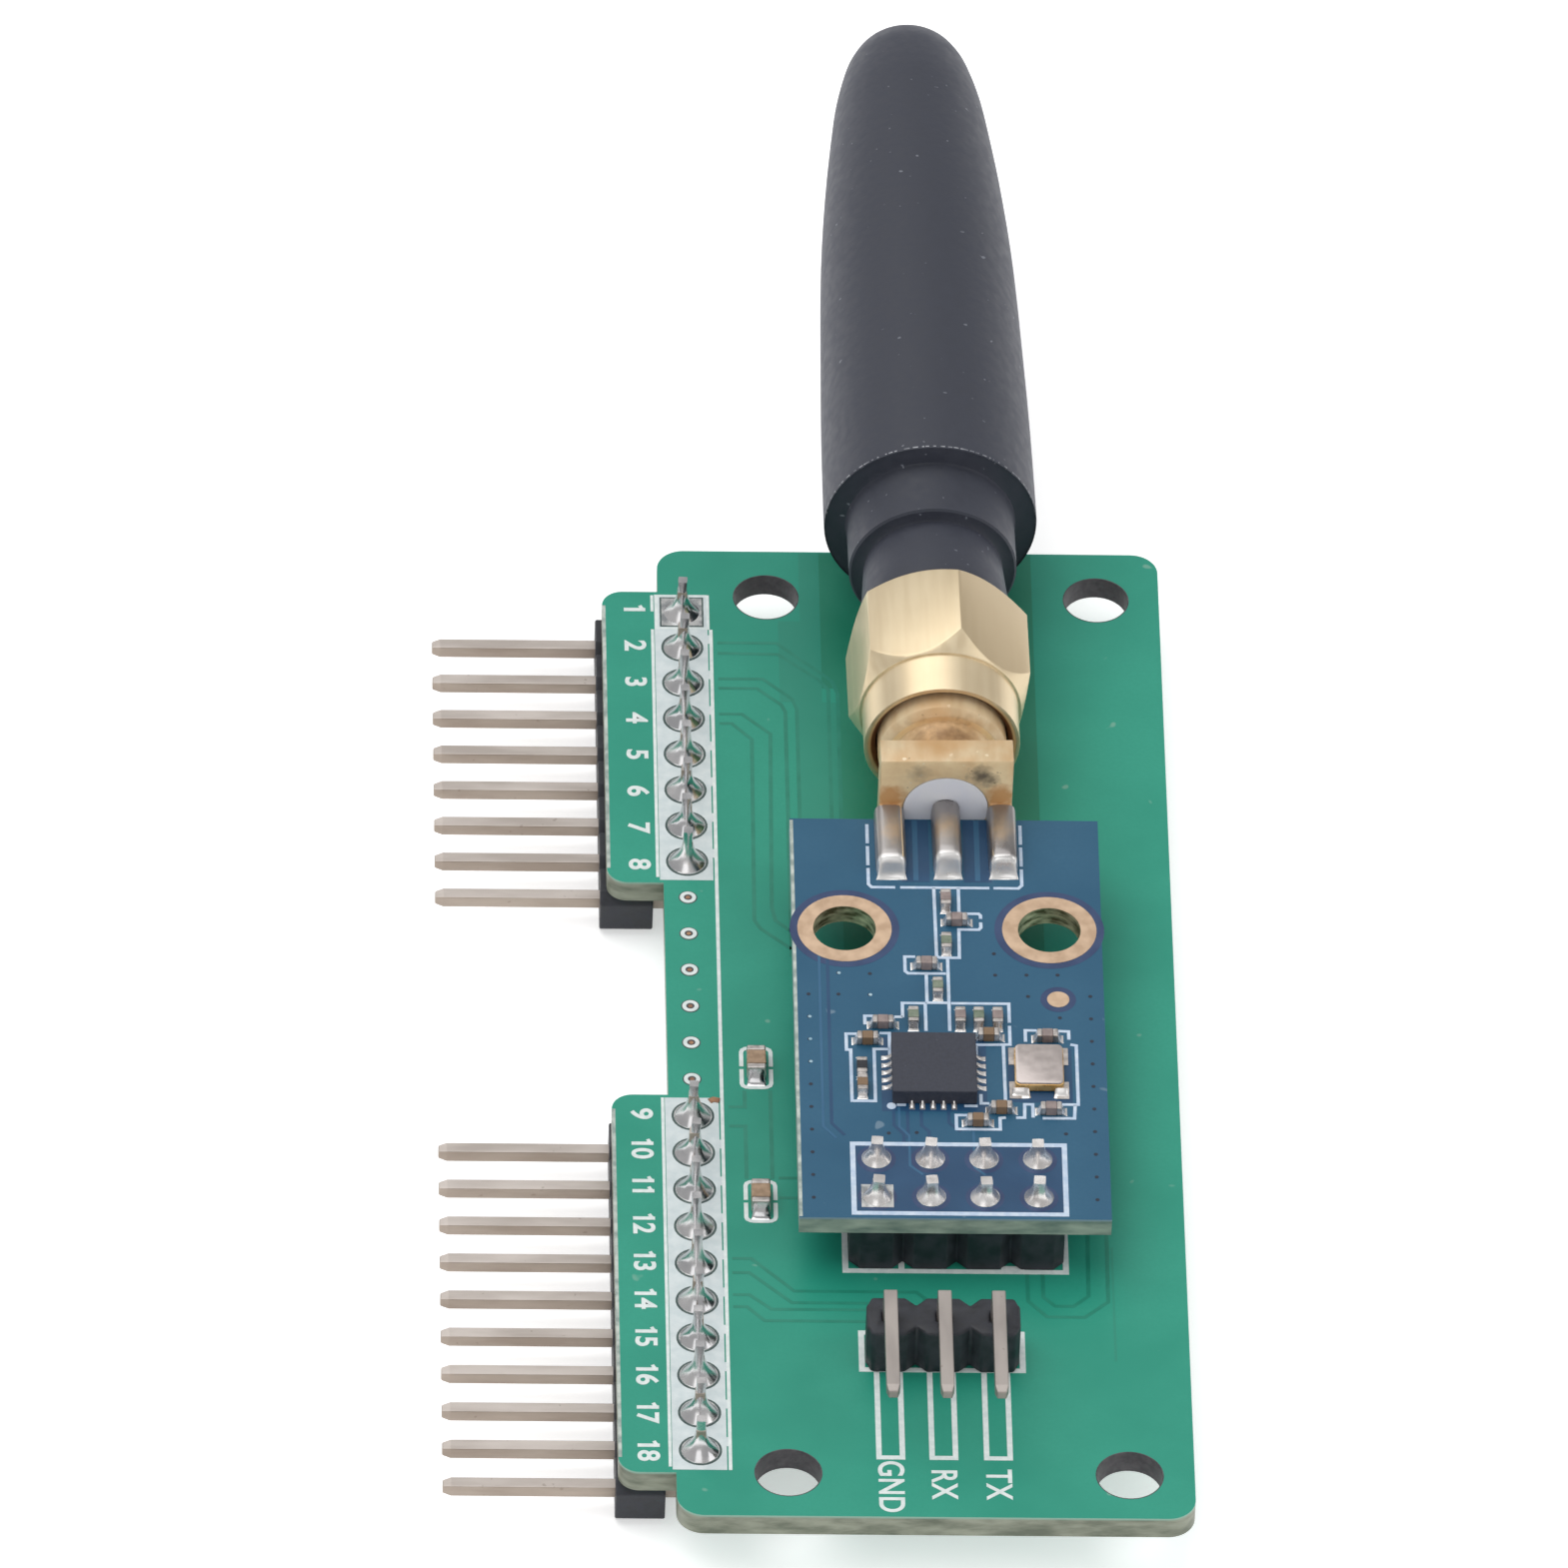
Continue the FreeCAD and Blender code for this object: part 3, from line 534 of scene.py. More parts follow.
piece_from(block, "pin_row_block", grey_ink)
piece_from(rims, "edge_pad_rims", dark_copper)
piece_from(pads, "edge_pads", tinned_copper)

# Inside the four mounting holes the laminate is painted dark as painted shade in the holes, and the six
# spare holes between the tabs have plated rims round a disc of painted shade in each mouth. Brown dabs
# of dried flux lie in them, and a drop of it beside the front row.
painted_hole_shade = Finish("painted_hole_shade", (58, 54, 60), (92, 88, 92), rough=(0.4, 0.55), scale=2400)
shape = bmesh.new()
for x in (-8.0, 8.0):
    for y in (-30.5, 30.5):
        washer(shape, x, y, 1.55, 1.6, 0.0, CARRIER_TOP + 0.004, corners=48)
for y in spare_holes:
    washer(shape, EDGE_ROW_X, y, 0, 0.2, *layer(0.008))
piece_from(shape, "hole_shades", painted_hole_shade, smooth=40)
flux_brown = Finish("flux_brown", (134, 88, 66), (184, 138, 100), rough=(0.25, 0.4), scale=2000, bump=0.2)
shape = bmesh.new()
track(shape, [(-11.3, -5.2), (-11.1, -5.08), (-10.82, -5.16)], 0.3, CARRIER_TOP + 0.02, CARRIER_TOP + 0.07)
for y in spare_holes:
    washer(shape, EDGE_ROW_X, y, 0, 0.11, *layer(0.012), corners=12)
piece_from(shape, "flux_spots", flux_brown)

# Along the left side of each tab a thin, pale line in the tone of bare laminate lies beside the
# lacquer. It is painted light, standing for the lamp from the left falling on that edge. It is a
# narrow strip let into the board's top corner.
left_edge_highlight = Finish("left_edge_highlight", (148, 164, 158), (206, 214, 206), rough=(0.55, 0.75), scale=1800, bump=0.3)


def left_side(board):
    """The x of a board's left side in millimetres, and the y of each corner on it."""
    corners = [vert.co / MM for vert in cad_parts[board].data.vertices]
    side_x = min(corner.x for corner in corners)
    return side_x, [corner.y for corner in corners if corner.x < side_x + 0.01]


shape = bmesh.new()
side_x, along_side = left_side("carrier_board")
for rows in edge_pin_rows.values():
    tab = [y for y in along_side if abs(y - sum(rows) / len(rows)) < 15]
    slab(shape, side_x, side_x + 0.17, min(tab), max(tab), CARRIER_TOP - 0.05, CARRIER_TOP + 0.004)
piece_from(shape, "tab_edge_highlights", left_edge_highlight)

# Right-angle pin strips under the left edge, and the two upright headers: moulded black bodies of
# joined octagons with square plated pins. The moulding has softened edges and a faint sheen. The
# pins are pale on top, and their sides are painted duller and browner as painted shade.
moulded_black = Finish(
    "moulded_black", (34, 36, 43), (52, 54, 62), rough=(0.42, 0.6), scale=1600, bump=0.12
)


def softened(name, width, finish, segments=2, smooth=35, shift=None, merge=True):
    """Replace a CAD node by a copy with rounded edges, width in millimetres. Shift may move its points."""
    shape = bmesh.new()
    shape.from_mesh(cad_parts[name].data)
    bmesh.ops.remove_doubles(shape, verts=shape.verts, dist=2e-6)
    if merge:
        bmesh.ops.dissolve_limit(shape, angle_limit=math.radians(1), verts=shape.verts, edges=shape.edges)
    sharp = [edge for edge in shape.edges if edge.calc_face_angle(0) > math.radians(30)]
    bmesh.ops.bevel(
        shape, geom=sharp, offset=width * MM, segments=segments, profile=0.5, affect="EDGES", clamp_overlap=True
    )
    bmesh.ops.transform(shape, matrix=Matrix.Scale(1 / MM, 4), verts=shape.verts)
    for vert in shape.verts if shift else ():
        vert.co = shift(vert.co)
    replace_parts(piece_from(shape, name + "_soft", finish, smooth=smooth), name)


def snapped(spot):
    """Shift that draws in the ends of the serial strip, where it was snapped from a longer one."""
    return spot + Vector((0.19 if spot.x < -4.2 else -0.19 if spot.x > 2.9 else 0, 0, 0))


def drawn_in(spot):
    """Shift that sets the front edge strip's outer face back under the carrier's tab."""
    return spot + Vector((0.2 if spot.x < strip_face + 0.3 else 0, 0, 0))


strip_face = min(vert.co.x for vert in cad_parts["edge_strip_front"].data.vertices) / MM
for name in ("edge_strip_rear", "link_strip"):
    softened(name, 0.07, moulded_black, smooth=None)
softened("edge_strip_front", 0.07, moulded_black, smooth=None, shift=drawn_in)
softened("serial_strip", 0.14, moulded_black, 3, shift=snapped)


def plated_pins(name, top, side, stretch):
    """Plate whose upright sides are painted darker and browner than its top as painted shade, with streaks
    along the pins.
    """
    plate = Finish(name, top[0], top[1], rough=(0.38, 0.5), metal=0.6, scale=900, bump=0.06, stretch=stretch)
    # Painted shade: the upright faces take the darker side colours.
    plate.stain(plate.sides(), plate.blend(plate.grain.outputs["Mask"], *side))
    plate.specks(2600, 0.26, (128, 112, 98), 0.4)
    return plate


def tapered(spot):
    """Shift that narrows the tip of an upright pin in the row at the carrier's edge."""
    if spot.z < 2.2:
        return spot
    y = min((y for rows in edge_pin_rows.values() for y in rows), key=lambda row: abs(row - spot.y))
    return Vector((EDGE_ROW_X + (spot.x - EDGE_ROW_X) * 0.72, y + (spot.y - y) * 0.72, spot.z))


link_rows = (-14.1 + PITCH / 2, -14.1 - PITCH / 2)


def trimmed(spot):
    """Shift that narrows and lowers the trimmed tip of a pin in the link header."""
    if spot.z < 5:
        return spot
    x, y = min(link_columns, key=lambda at: abs(at - spot.x)), min(link_rows, key=lambda at: abs(at - spot.y))
    return Vector((x + (spot.x - x) * 0.78, y + (spot.y - y) * 0.78, spot.z - 0.42))


def raised(spot):
    """Shift that lifts the bent pins of the serial header a little above their strip."""
    return spot + Vector((0, 0.14 if spot.y < -26 else 0, 0.38 if spot.z > 4 else 0))


side_pins = plated_pins(
    "side_pins", ((188, 178, 170), (212, 203, 196)), ((160, 146, 134), (184, 171, 159)), (0.25, 1, 1)
)
link_pin_plate = plated_pins(
    "link_pin_plate", ((206, 198, 194), (232, 226, 222)), ((186, 178, 173), (206, 198, 192)), (1, 1, 1)
)
header_pins = plated_pins(
    "header_pins", ((164, 156, 151), (182, 174, 168)), ((140, 132, 127), (160, 151, 145)), (1, 0.25, 1)
)
for name, plate, shift in (
    ("edge_pins_rear", side_pins, tapered), ("edge_pins_front", side_pins, tapered),
    ("link_pins", link_pin_plate, trimmed), ("serial_pins", header_pins, raised),
):
    softened(name, 0.05, plate, smooth=None, shift=shift)

# Solder joints round the pins: bright cones with hollow flanks that climb each pin. One joint is
# shaped once and set on every pin, each turned a little and of its own height.
bright_solder = Finish(
    "bright_solder", (196, 196, 198), (228, 226, 226), rough=(0.14, 0.26), metal=1.0, scale=600, bump=0.12
)
bright_solder.specks(1200, 0.24, (232, 212, 200), 0.4)
satin_solder = Finish(
    "satin_solder", (224, 219, 216), (248, 245, 243), rough=(0.18, 0.3), metal=0.78, scale=900, bump=0.15
)


def solder_tree():
    """Geometry nodes: a hollow-sided cone on every point of the mesh."""
    tree = bpy.data.node_groups.new("solder_joints", "GeometryNodeTree")
    group_socket(tree, "Geometry", "Geometry")
    sizes = {"Radius": 0.00095, "Neck": 0.00042, "Height": 0.0013, "Steep": 2.3, "Spread": 0.1}
    for name, value in sizes.items():
        group_socket(tree, name, "Float", value=value)
    group_socket(tree, "Material", "Material")
    group_socket(tree, "Geometry", "Geometry", "OUTPUT")

    def add(kind, values=(), **links):
        """A node with values on its inputs, and links into those that are named."""
        made = tree.nodes.new(kind)
        for name, value in dict(values).items():
            made.inputs[name].default_value = value
        for name, source in links.items():
            tree.links.new(source, made.inputs[name])
        return made

    def math_node(kind, one, other=0.0):
        made = tree.nodes.new("ShaderNodeMath")
        made.operation = kind
        for index, value in enumerate((one, other)):
            if isinstance(value, (int, float)):
                made.inputs[index].default_value = value
            else:
                tree.links.new(value, made.inputs[index])
        return made.outputs[0]

    given = add("NodeGroupInput").outputs
    unit = {"Vertices": 32, "Side Segments": 14, "Radius Top": 1, "Radius Bottom": 1, "Depth": 1}
    cone = add("GeometryNodeMeshCone", unit)
    cone.fill_type = "NGON"
    spot = add("ShaderNodeSeparateXYZ", Vector=add("GeometryNodeInputPosition").outputs[0]).outputs
    fall = math_node("POWER", math_node("SUBTRACT", 1.0, spot["Z"]), given["Steep"])
    flare = math_node("MULTIPLY", fall, math_node("SUBTRACT", given["Radius"], given["Neck"]))
    farthest = math_node("MAXIMUM", math_node("ABSOLUTE", spot["X"]), math_node("ABSOLUTE", spot["Y"]))
    squared = math_node("POWER", farthest, math_node("MULTIPLY", spot["Z"], -0.85))
    width = math_node("MULTIPLY", math_node("ADD", given["Neck"], flare), squared)
    ways = (("X", width), ("Y", width), ("Z", given["Height"]))
    moved = add("ShaderNodeCombineXYZ", **{way: math_node("MULTIPLY", spot[way], by) for way, by in ways})
    placed = add("GeometryNodeSetPosition", Geometry=cone.outputs["Mesh"], Position=moved.outputs[0])
    smooth = add("GeometryNodeSetShadeSmooth", Geometry=placed.outputs[0])
    turn = tree.nodes.new("FunctionNodeRandomValue")
    turn.data_type = "FLOAT_VECTOR"
    turn.inputs["Min"].default_value = (-0.04, -0.04, -0.12)
    turn.inputs["Max"].default_value = (0.04, 0.04, 0.12)
    turn.inputs["Seed"].default_value = 7
    size = add("FunctionNodeRandomValue", {"Seed": 3})
    tree.links.new(math_node("SUBTRACT", 1.0, given["Spread"]), size.inputs[2])
    size.inputs[3].default_value = 1.0
    scale = add("ShaderNodeCombineXYZ", {"X": 1, "Y": 1}, Z=size.outputs[1])
    points = add(
        "GeometryNodeInstanceOnPoints", Points=given["Geometry"], Instance=smooth.outputs[0],
        Rotation=turn.outputs[0], Scale=scale.outputs[0]
    )
    real = add("GeometryNodeRealizeInstances", Geometry=points.outputs[0])
    metal = add("GeometryNodeSetMaterial", Geometry=real.outputs[0], Material=given["Material"])
    add("NodeGroupOutput", Geometry=metal.outputs[0])
    return tree


def grown(name, points, tree, values):
    """Mesh that a geometry-nodes tree makes on points given in millimetres."""
    seed = bpy.data.meshes.new(name)
    seed.from_pydata([Vector(point) * MM for point in points], [], [])
    holder = link(bpy.data.objects.new(name, seed))
    modifier = holder.modifiers.new("grow", "NODES")
    modifier.node_group = tree
    for item in tree.interface.items_tree:
        if item.in_out == "INPUT" and item.name in values:
            modifier[item.identifier] = values[item.name]
    bpy.context.view_layer.update()
    mesh = bpy.data.meshes.new_from_object(holder.evaluated_get(bpy.context.evaluated_depsgraph_get()))
    bpy.data.objects.remove(holder)
    shape = bmesh.new()
    shape.from_mesh(mesh)
    bpy.data.meshes.remove(mesh)
    bmesh.ops.transform(shape, matrix=Matrix.Scale(1 / MM, 4), verts=shape.verts)
    return shape


solder_joints = solder_tree()


def solder_on(name, node, points, place, height, radius=0.95, neck=0.36, skin=bright_solder, steep=2.3):
    """Solder joints on points, in place of a CAD node's plain ones. Steep sets how hollow their sides are."""
    sizes = {"Height": height * MM, "Radius": radius * MM, "Neck": neck * MM, "Steep": steep}
    shape = grown(name, points, solder_joints, {**sizes, "Material": skin.material})
    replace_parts(piece_from(shape, name, skin, place, smooth=50), node)


OVER = Matrix.Translation((0, 0, CARRIER_TOP))
UNDER = Matrix.Rotation(math.pi, 4, "X")
for side, rows in edge_pin_rows.items():
    places = [(EDGE_ROW_X, y, 0) for y in rows]
    solder_on("edge_joints_" + side, "edge_solder_" + side, places, OVER, 2.15, 0.9, 0.22, steep=3.4)
solder_on("serial_joints", "serial_solder", [(x, 22.43, 0) for x in serial_columns], UNDER, 1.05)
places = [(x, -y, 0) for x in link_columns for y in link_rows]
solder_on("link_joints_under", "link_solder_lower", places, UNDER, 1.05, 0.78)

# The radio board: a 1 mm plate lacquered in dark blue. It leans up a little towards the antenna,
# about the front edge of the link header that carries it.
LEAN_EDGE = Vector((0, -16.62, 3.74))
LEAN_ANGLE = math.radians(1.441)
RADIO_TOP = 4.74
LEAN = Matrix.Translation(LEAN_EDGE) @ Matrix.Rotation(LEAN_ANGLE, 4, "X") @ Matrix.Translation(-LEAN_EDGE)
blue_lacquer = lacquered_board(
    "blue_lacquer", (36, 90, 121), (45, 98, 128), (122, 138, 130), (184, 194, 180),
    (142, 164, 180), RADIO_TOP
)
dress(blue_lacquer, "radio_board")
side_x, along_side = left_side("radio_board")
# Painted light: a pale strip along the radio board's left edge, where the lamp from the left falls.
shape = bmesh.new()
near, far = min(along_side) + 0.1, max(along_side) - 0.1
slab(shape, side_x, side_x + 0.16, near, far, RADIO_TOP - 0.05, RADIO_TOP + 0.004)
piece_from(shape, "radio_edge_highlight", left_edge_highlight, LEAN)
gold_pad = Finish(
    "gold_pad", (202, 172, 144), (222, 194, 166), rough=(0.38, 0.5), metal=0.8, scale=1500, bump=0.1
)
lined_hole = Finish(
    "lined_hole", (112, 104, 76), (226, 218, 184), rough=(0.25, 0.45), metal=0.5, scale=1200, bump=0.4,
    stretch=(1, 1, 3)
)
pale_ink = Finish("pale_ink", (190, 210, 234), (214, 228, 244), rough=(0.5, 0.65), scale=2500, bump=0.15)
violet_rim = Finish("violet_rim", (44, 64, 104), (52, 74, 114), scale=900, **LACQUER)
dark_blue = Finish("dark_blue", (26, 70, 108), (32, 78, 116), scale=300, **LACQUER)
light_blue = Finish("light_blue", (44, 98, 134), (52, 104, 140), scale=300, **LACQUER)
via_mouth = Finish("via_mouth", (22, 34, 52), (34, 46, 64), rough=(0.4, 0.5), scale=3000)
RADIO_FILM = layer(0.005, RADIO_TOP)
RADIO_INK = layer(0.02, RADIO_TOP)
screw_places = ((-4.85, 2.674), (4.91, 2.674))

shape = bmesh.new()
for x, y in screw_places:
    washer(shape, x, y, 1.5, 2.25, RADIO_TOP - 0.01, RADIO_TOP + 0.02, corners=48)
washer(shape, 5.22, -2.03, 0, 0.53, *RADIO_INK)
piece_from(shape, "screw_rings", gold_pad, LEAN, smooth=40)
shape = bmesh.new()
for x, y in screw_places:
    washer(shape, x, y, 1.5, 1.55, RADIO_TOP - 1.0, RADIO_TOP - 0.01, corners=48)
piece_from(shape, "screw_hole_linings", lined_hole, LEAN, smooth=40)
shape = bmesh.new()
for x, y in screw_places:
    washer(shape, x, y, 2.24, 2.62, *RADIO_FILM, corners=48)
washer(shape, 5.22, -2.03, 0.5, 0.85, *RADIO_FILM)
for x in link_columns:
    for y in (-12.87, -15.4):
        washer(shape, x, y, 0.7, 0.92, *RADIO_FILM)
piece_from(shape, "bare_rims", violet_rim, LEAN)

# Under the blue lacquer: areas without copper, which look darker, faint tracks, and small vias along
# the board's edges. Some of the vias are filled with solder, shown as pale bluish dots whose colour
# is a painted glint.
shape = bmesh.new()
slab(shape, -2.05, -0.72, 5.9, 10.1, *RADIO_FILM)
slab(shape, 0.92, 2.25, 5.9, 10.1, *RADIO_FILM)
slab(shape, -4.7, 5.2, -16.4, -11.95, *layer(0.003, RADIO_TOP))
for points in (
    [(-2.75, -9.4), (-2.75, -10.6), (-2.3, -11.2), (-2.3, -13.4), (-1.7, -14.0)],
    [(-2.1, -9.5), (-2.1, -11.5)],
    [(-1.45, -9.5), (-1.45, -10.6), (-1.1, -11.0), (-1.1, -11.6)],
    [(-0.15, -9.5), (-0.15, -10.4), (0.4, -11.0)],
    [(-5.7, 1.0), (-5.7, -10.5), (-5.1, -11.3)],
    [(2.6, -12.0), (2.6, -13.6), (3.1, -14.1)],
):
    track(shape, points, 0.16, *layer(0.006, RADIO_TOP))
piece_from(shape, "radio_dark_areas", dark_blue, LEAN)
shape = bmesh.new()
slab(shape, -1.5, -1.25, 6.0, 10.1, *layer(0.007, RADIO_TOP))
slab(shape, 1.45, 1.7, 6.0, 10.1, *layer(0.007, RADIO_TOP))
for points in (
    [(-2.5, -9.4), (-2.5, -10.7), (-2.05, -11.3), (-2.05, -13.3), (-1.45, -13.9)],
    [(-6.1, 1.0), (-6.1, -10.7), (-5.5, -11.5)],
    [(1.0, -11.0), (1.0, -13.4), (1.5, -13.9)],
):
    track(shape, points, 0.12, *layer(0.008, RADIO_TOP))
piece_from(shape, "radio_tracks", light_blue, LEAN)
via_places = [(x, -1.8 - 1.52 * i) for x in (-6.64, 6.75) for i in range(10)] + [
    (-5.2, -0.35), (-5.22, -1.79), (-3.7, -0.38), (-3.73, -1.81), (2.23, 1.04), (2.26, -0.41), (3.75, -0.39),
    (5.23, -0.37), (3.79, -1.84), (5.27, -3.27), (-3.01, -11.14), (-1.69, -11.09), (5.37, -11.09)
]
glinting_filled_vias = (1, 2, 3, 20, 23)
vias = bmesh.new()
filled_glints = bmesh.new()
for index, (x, y) in enumerate(via_places):
    washer(vias, x, y, 0, 0.1, *layer(0.008, RADIO_TOP), corners=12)
    if index in glinting_filled_vias:
        washer(filled_glints, x + 0.03, y, 0, 0.09, *layer(0.012, RADIO_TOP), corners=8)
piece_from(vias, "radio_vias", via_mouth, LEAN)
# Painted glint: the solder in the filled vias is coloured pale bluish.
via_tin_glint = Finish("via_tin_glint", (150, 186, 204), (190, 214, 224), rough=(0.3, 0.4), metal=0.3, scale=3000)
piece_from(filled_glints, "filled_via_glints", via_tin_glint, LEAN)

# The radio board's print: a line round the jack's pads, a box round each group of chips, and one
# round the link header.
shape = bmesh.new()
for points in (
    [(-3.65, 9.8), (-3.65, 8.5)],
    [(-3.65, 8.3), (-3.65, 7.0)],
    [(-3.65, 6.8), (-3.65, 5.7), (-3.5, 5.5), (-2.38, 5.5)],
    [(-2.14, 5.5), (0.0, 5.5), (2.12, 5.5)],
    [(2.31, 5.5), (3.5, 5.5), (3.67, 5.7), (3.67, 6.8)],
    [(3.67, 7.0), (3.67, 8.3)],
    [(3.67, 8.5), (3.67, 9.8)],
    [
        (-0.54, 5.5), (-0.5, 0.85), (-0.37, 0.73), (0.58, 0.73), (0.6, 2.66), (1.55, 2.66), (1.65, 2.8),
        (1.65, 3.15)
    ],
    [(0.63, 5.5), (0.63, 3.74), (1.56, 3.74), (1.65, 3.62), (1.65, 3.4)],
    [(-1.52, 0.78), (-2.02, 0.78), (-2.02, -0.2), (-1.88, -0.35), (-0.08, -0.35)],
    [(0.02, 0.65), (0.02, -4.24)],
    [(-1.02, -0.4), (-1.02, -2.33), (-0.04, -2.33)],
    [(0.12, -2.36), (2.86, -2.36), (2.86, -3.64)],
    [(-2.2, -3.34), (-2.2, -2.37), (-1.11, -2.37), (-1.11, -4.25)],
    [(-4.0, -3.84), (-4.0, -3.26), (-3.58, -3.26)],
    [(-2.6, -3.31), (-2.2, -3.31)],
    [(-2.86, -5.9), (-2.86, -4.42), (-3.32, -4.42)],
    [
        (-4.35, -4.48), (-4.91, -4.48), (-4.91, -5.56), (-4.71, -5.56), (-4.71, -9.0), (-3.6, -9.0),
        (-3.6, -5.5), (-2.87, -5.5)
    ],
    [(2.86, -3.86), (2.86, -5.12), (1.2, -5.16)],
    [(2.54, -5.2), (2.56, -8.92)],
    [(1.24, -5.2), (1.24, -5.95)],
    [(3.6, -4.92), (3.6, -4.15), (4.15, -4.15)],
    [(5.14, -4.18), (5.66, -4.2), (5.66, -4.75)],
    [(5.72, -5.08), (6.0, -5.15), (6.0, -9.13), (4.94, -9.13)],
    [(0.6, -9.28), (1.23, -9.28)],
    [(1.4, -8.48), (1.4, -9.1), (1.79, -9.1)],
    [(0.74, -9.9), (0.2, -9.9), (0.2, -10.84), (2.27, -10.84), (2.27, -10.08), (2.55, -10.04)],
    [(3.03, -10.04), (3.44, -10.04), (3.46, -9.14), (3.84, -9.14), (3.84, -10.02)],
    [(4.29, -10.06), (5.8, -10.06), (5.85, -9.16)],
    [(-2.59, -9.24), (-2.16, -9.24)],
):
    track(shape, points, 0.16, *RADIO_INK)
washer(shape, -2.85, -9.32, 0, 0.22, *RADIO_INK, corners=16)
outline(shape, -4.87, 5.39, -16.63, -11.75, 0.25, *RADIO_INK)
piece_from(shape, "radio_print", pale_ink, LEAN)

# Solder on top of the radio board holds the trimmed tips of the link pins, each on a tinned pad. The
# first pin's pad is square.


def leaned_y(y):
    """Where an upright pin at y crosses the radio board, before it is leaned."""
    return LEAN_EDGE.y + (y - LEAN_EDGE.y) / math.cos(LEAN_ANGLE) + 0.5 * math.tan(LEAN_ANGLE)


radio_joints = [(x, leaned_y(y), 0) for x in link_columns for y in link_rows]
shape = bmesh.new()
for x, y, z in radio_joints:
    washer(shape, x, y, 0, 0.7, *RADIO_INK)
pad(shape, *radio_joints[1][:2], 0.76, 0.76, *RADIO_INK)
piece_from(shape, "link_pads", tinned_copper, LEAN)
on_radio = LEAN @ Matrix.Translation((0, 0, RADIO_TOP))
solder_on("link_joints", "link_solder_upper", radio_joints, on_radio, 1.2, 0.7, 0.28, satin_solder)

# The transceiver chip: a flat package of dark moulding without legs, on a ring of tinned pads, five
# on each side. The lacquer under it and under the crystal has no copper below it and looks darker.
chip_moulding = Finish(
    "chip_moulding", (50, 53, 65), (60, 63, 75), rough=(0.5, 0.65), scale=5000, bump=0.2
)
chip_moulding.specks(3800, 0.27, (80, 83, 96), 0.5)
softened("transceiver_chip", 0.06, chip_moulding, smooth=None)

CHIP = (-0.8, -7.154)
CRYSTAL = (4.25, -7.14)
shape = bmesh.new()
for x, y, reach_x, reach_y in (
    [(CHIP[0] + side * 2.19, CHIP[1] + 0.06 + 0.5 * i, 0.27, 0.12) for side in (-1, 1) for i in range(-2, 3)]
    + [(CHIP[0] - 0.08 + 0.5 * i, CHIP[1] + side * 2.17, 0.13, 0.22) for side in (-1, 1) for i in range(-2, 3)]
):
    pad(shape, x, y, reach_x, reach_y, *RADIO_INK)
piece_from(shape, "chip_pads", satin_solder, LEAN)
shape = bmesh.new()
pad(shape, *CHIP, 2.5, 2.5, *RADIO_FILM)
slab(shape, CRYSTAL[0] - 1.55, CRYSTAL[0] + 1.5, CRYSTAL[1] - 1.85, CRYSTAL[1] + 1.8, *RADIO_FILM)
piece_from(shape, "chip_surrounds", dark_blue, LEAN)

# The crystal: a pale case with gold-plated sides and rounded corners, closed by a thin metal lid. It
# stands on a thin foot whose dark colour is painted shade under the case.


def cushion(shape, middle, half, z0, z1, corner, edge=0.04, steps=5):
    """A block with rounded upright corners and a softened top edge."""
    turns = [(k, math.pi / 2 * (k + i / steps)) for k in range(4) for i in range(steps + 1)]
    bridge(shape, [
        [(
            middle[0] + (1, -1, -1, 1)[k] * (half[0] - corner) + (corner - inset) * math.cos(turn),
            middle[1] + (1, 1, -1, -1)[k] * (half[1] - corner) + (corner - inset) * math.sin(turn), z
        ) for k, turn in turns]
        for z, inset in ((z0, 0), (z1 - edge, 0), (z1 - 0.3 * edge, 0.3 * edge), (z1, edge))
    ])


gold_side = Finish("gold_side", (214, 166, 98), (240, 200, 136), rough=(0.22, 0.36), metal=0.6, scale=1800)
CRYSTAL_SEAT = (4.18, -6.92)
shape = bmesh.new()
cushion(shape, CRYSTAL_SEAT, (1.16, 1.36), RADIO_TOP + 0.08, RADIO_TOP + 0.46, 0.26)
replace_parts(piece_from(shape, "crystal_case", gold_side, LEAN, smooth=40), "crystal_base")
lid_metal = Finish(
    "lid_metal", (196, 186, 182), (210, 200, 196), rough=(0.4, 0.52), metal=0.8, scale=2200, bump=0.08
)
lid_metal.specks(1500, 0.3, (196, 190, 186), 0.4)
shape = bmesh.new()
cushion(shape, CRYSTAL_SEAT, (1.12, 1.31), RADIO_TOP + 0.46, RADIO_TOP + 0.56, 0.24)
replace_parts(piece_from(shape, "crystal_cover", lid_metal, LEAN, smooth=40), "crystal_lid")

# The soldering of the chips: solder slopes with a hollow face from each contact of the transceiver
# and from each tinned end of the small chips down to its pad. The two larger capacitors sit on the
# carrier, and the crystal is soldered at its front.


def toe(shape, x0, x1, y0, y1, along, length, height, base, narrow=0.92):
    """Solder that slopes down with a hollow face from one side of a block to the board."""
    across = 0.5 * ((y1 - y0) if along[0] else (x1 - x0))
    middle = Vector(((x0 + x1) / 2 + along[0] * (x1 - x0) / 2, (y0 + y1) / 2 + along[1] * (y1 - y0) / 2))
    out, side = Vector(along), Vector((-along[1], along[0]))
    arch = ((1, 0), (0.97, 0.6), (0.8, 0.94), (0.3, 1), (-0.3, 1), (-0.8, 0.94), (-0.97, 0.6), (-1, 0))
    rings = []
    for step in range(7):
        t = step / 6
        rise = max(0.004, height * (1 - t) ** 2.2)
        wide = side * across * (narrow + (1.12 - narrow) * t * t)
        rings.append([(*(middle + out * length * t + wide * turn), base + rise * lift) for turn, lift in arch])
    bridge(shape, rings)


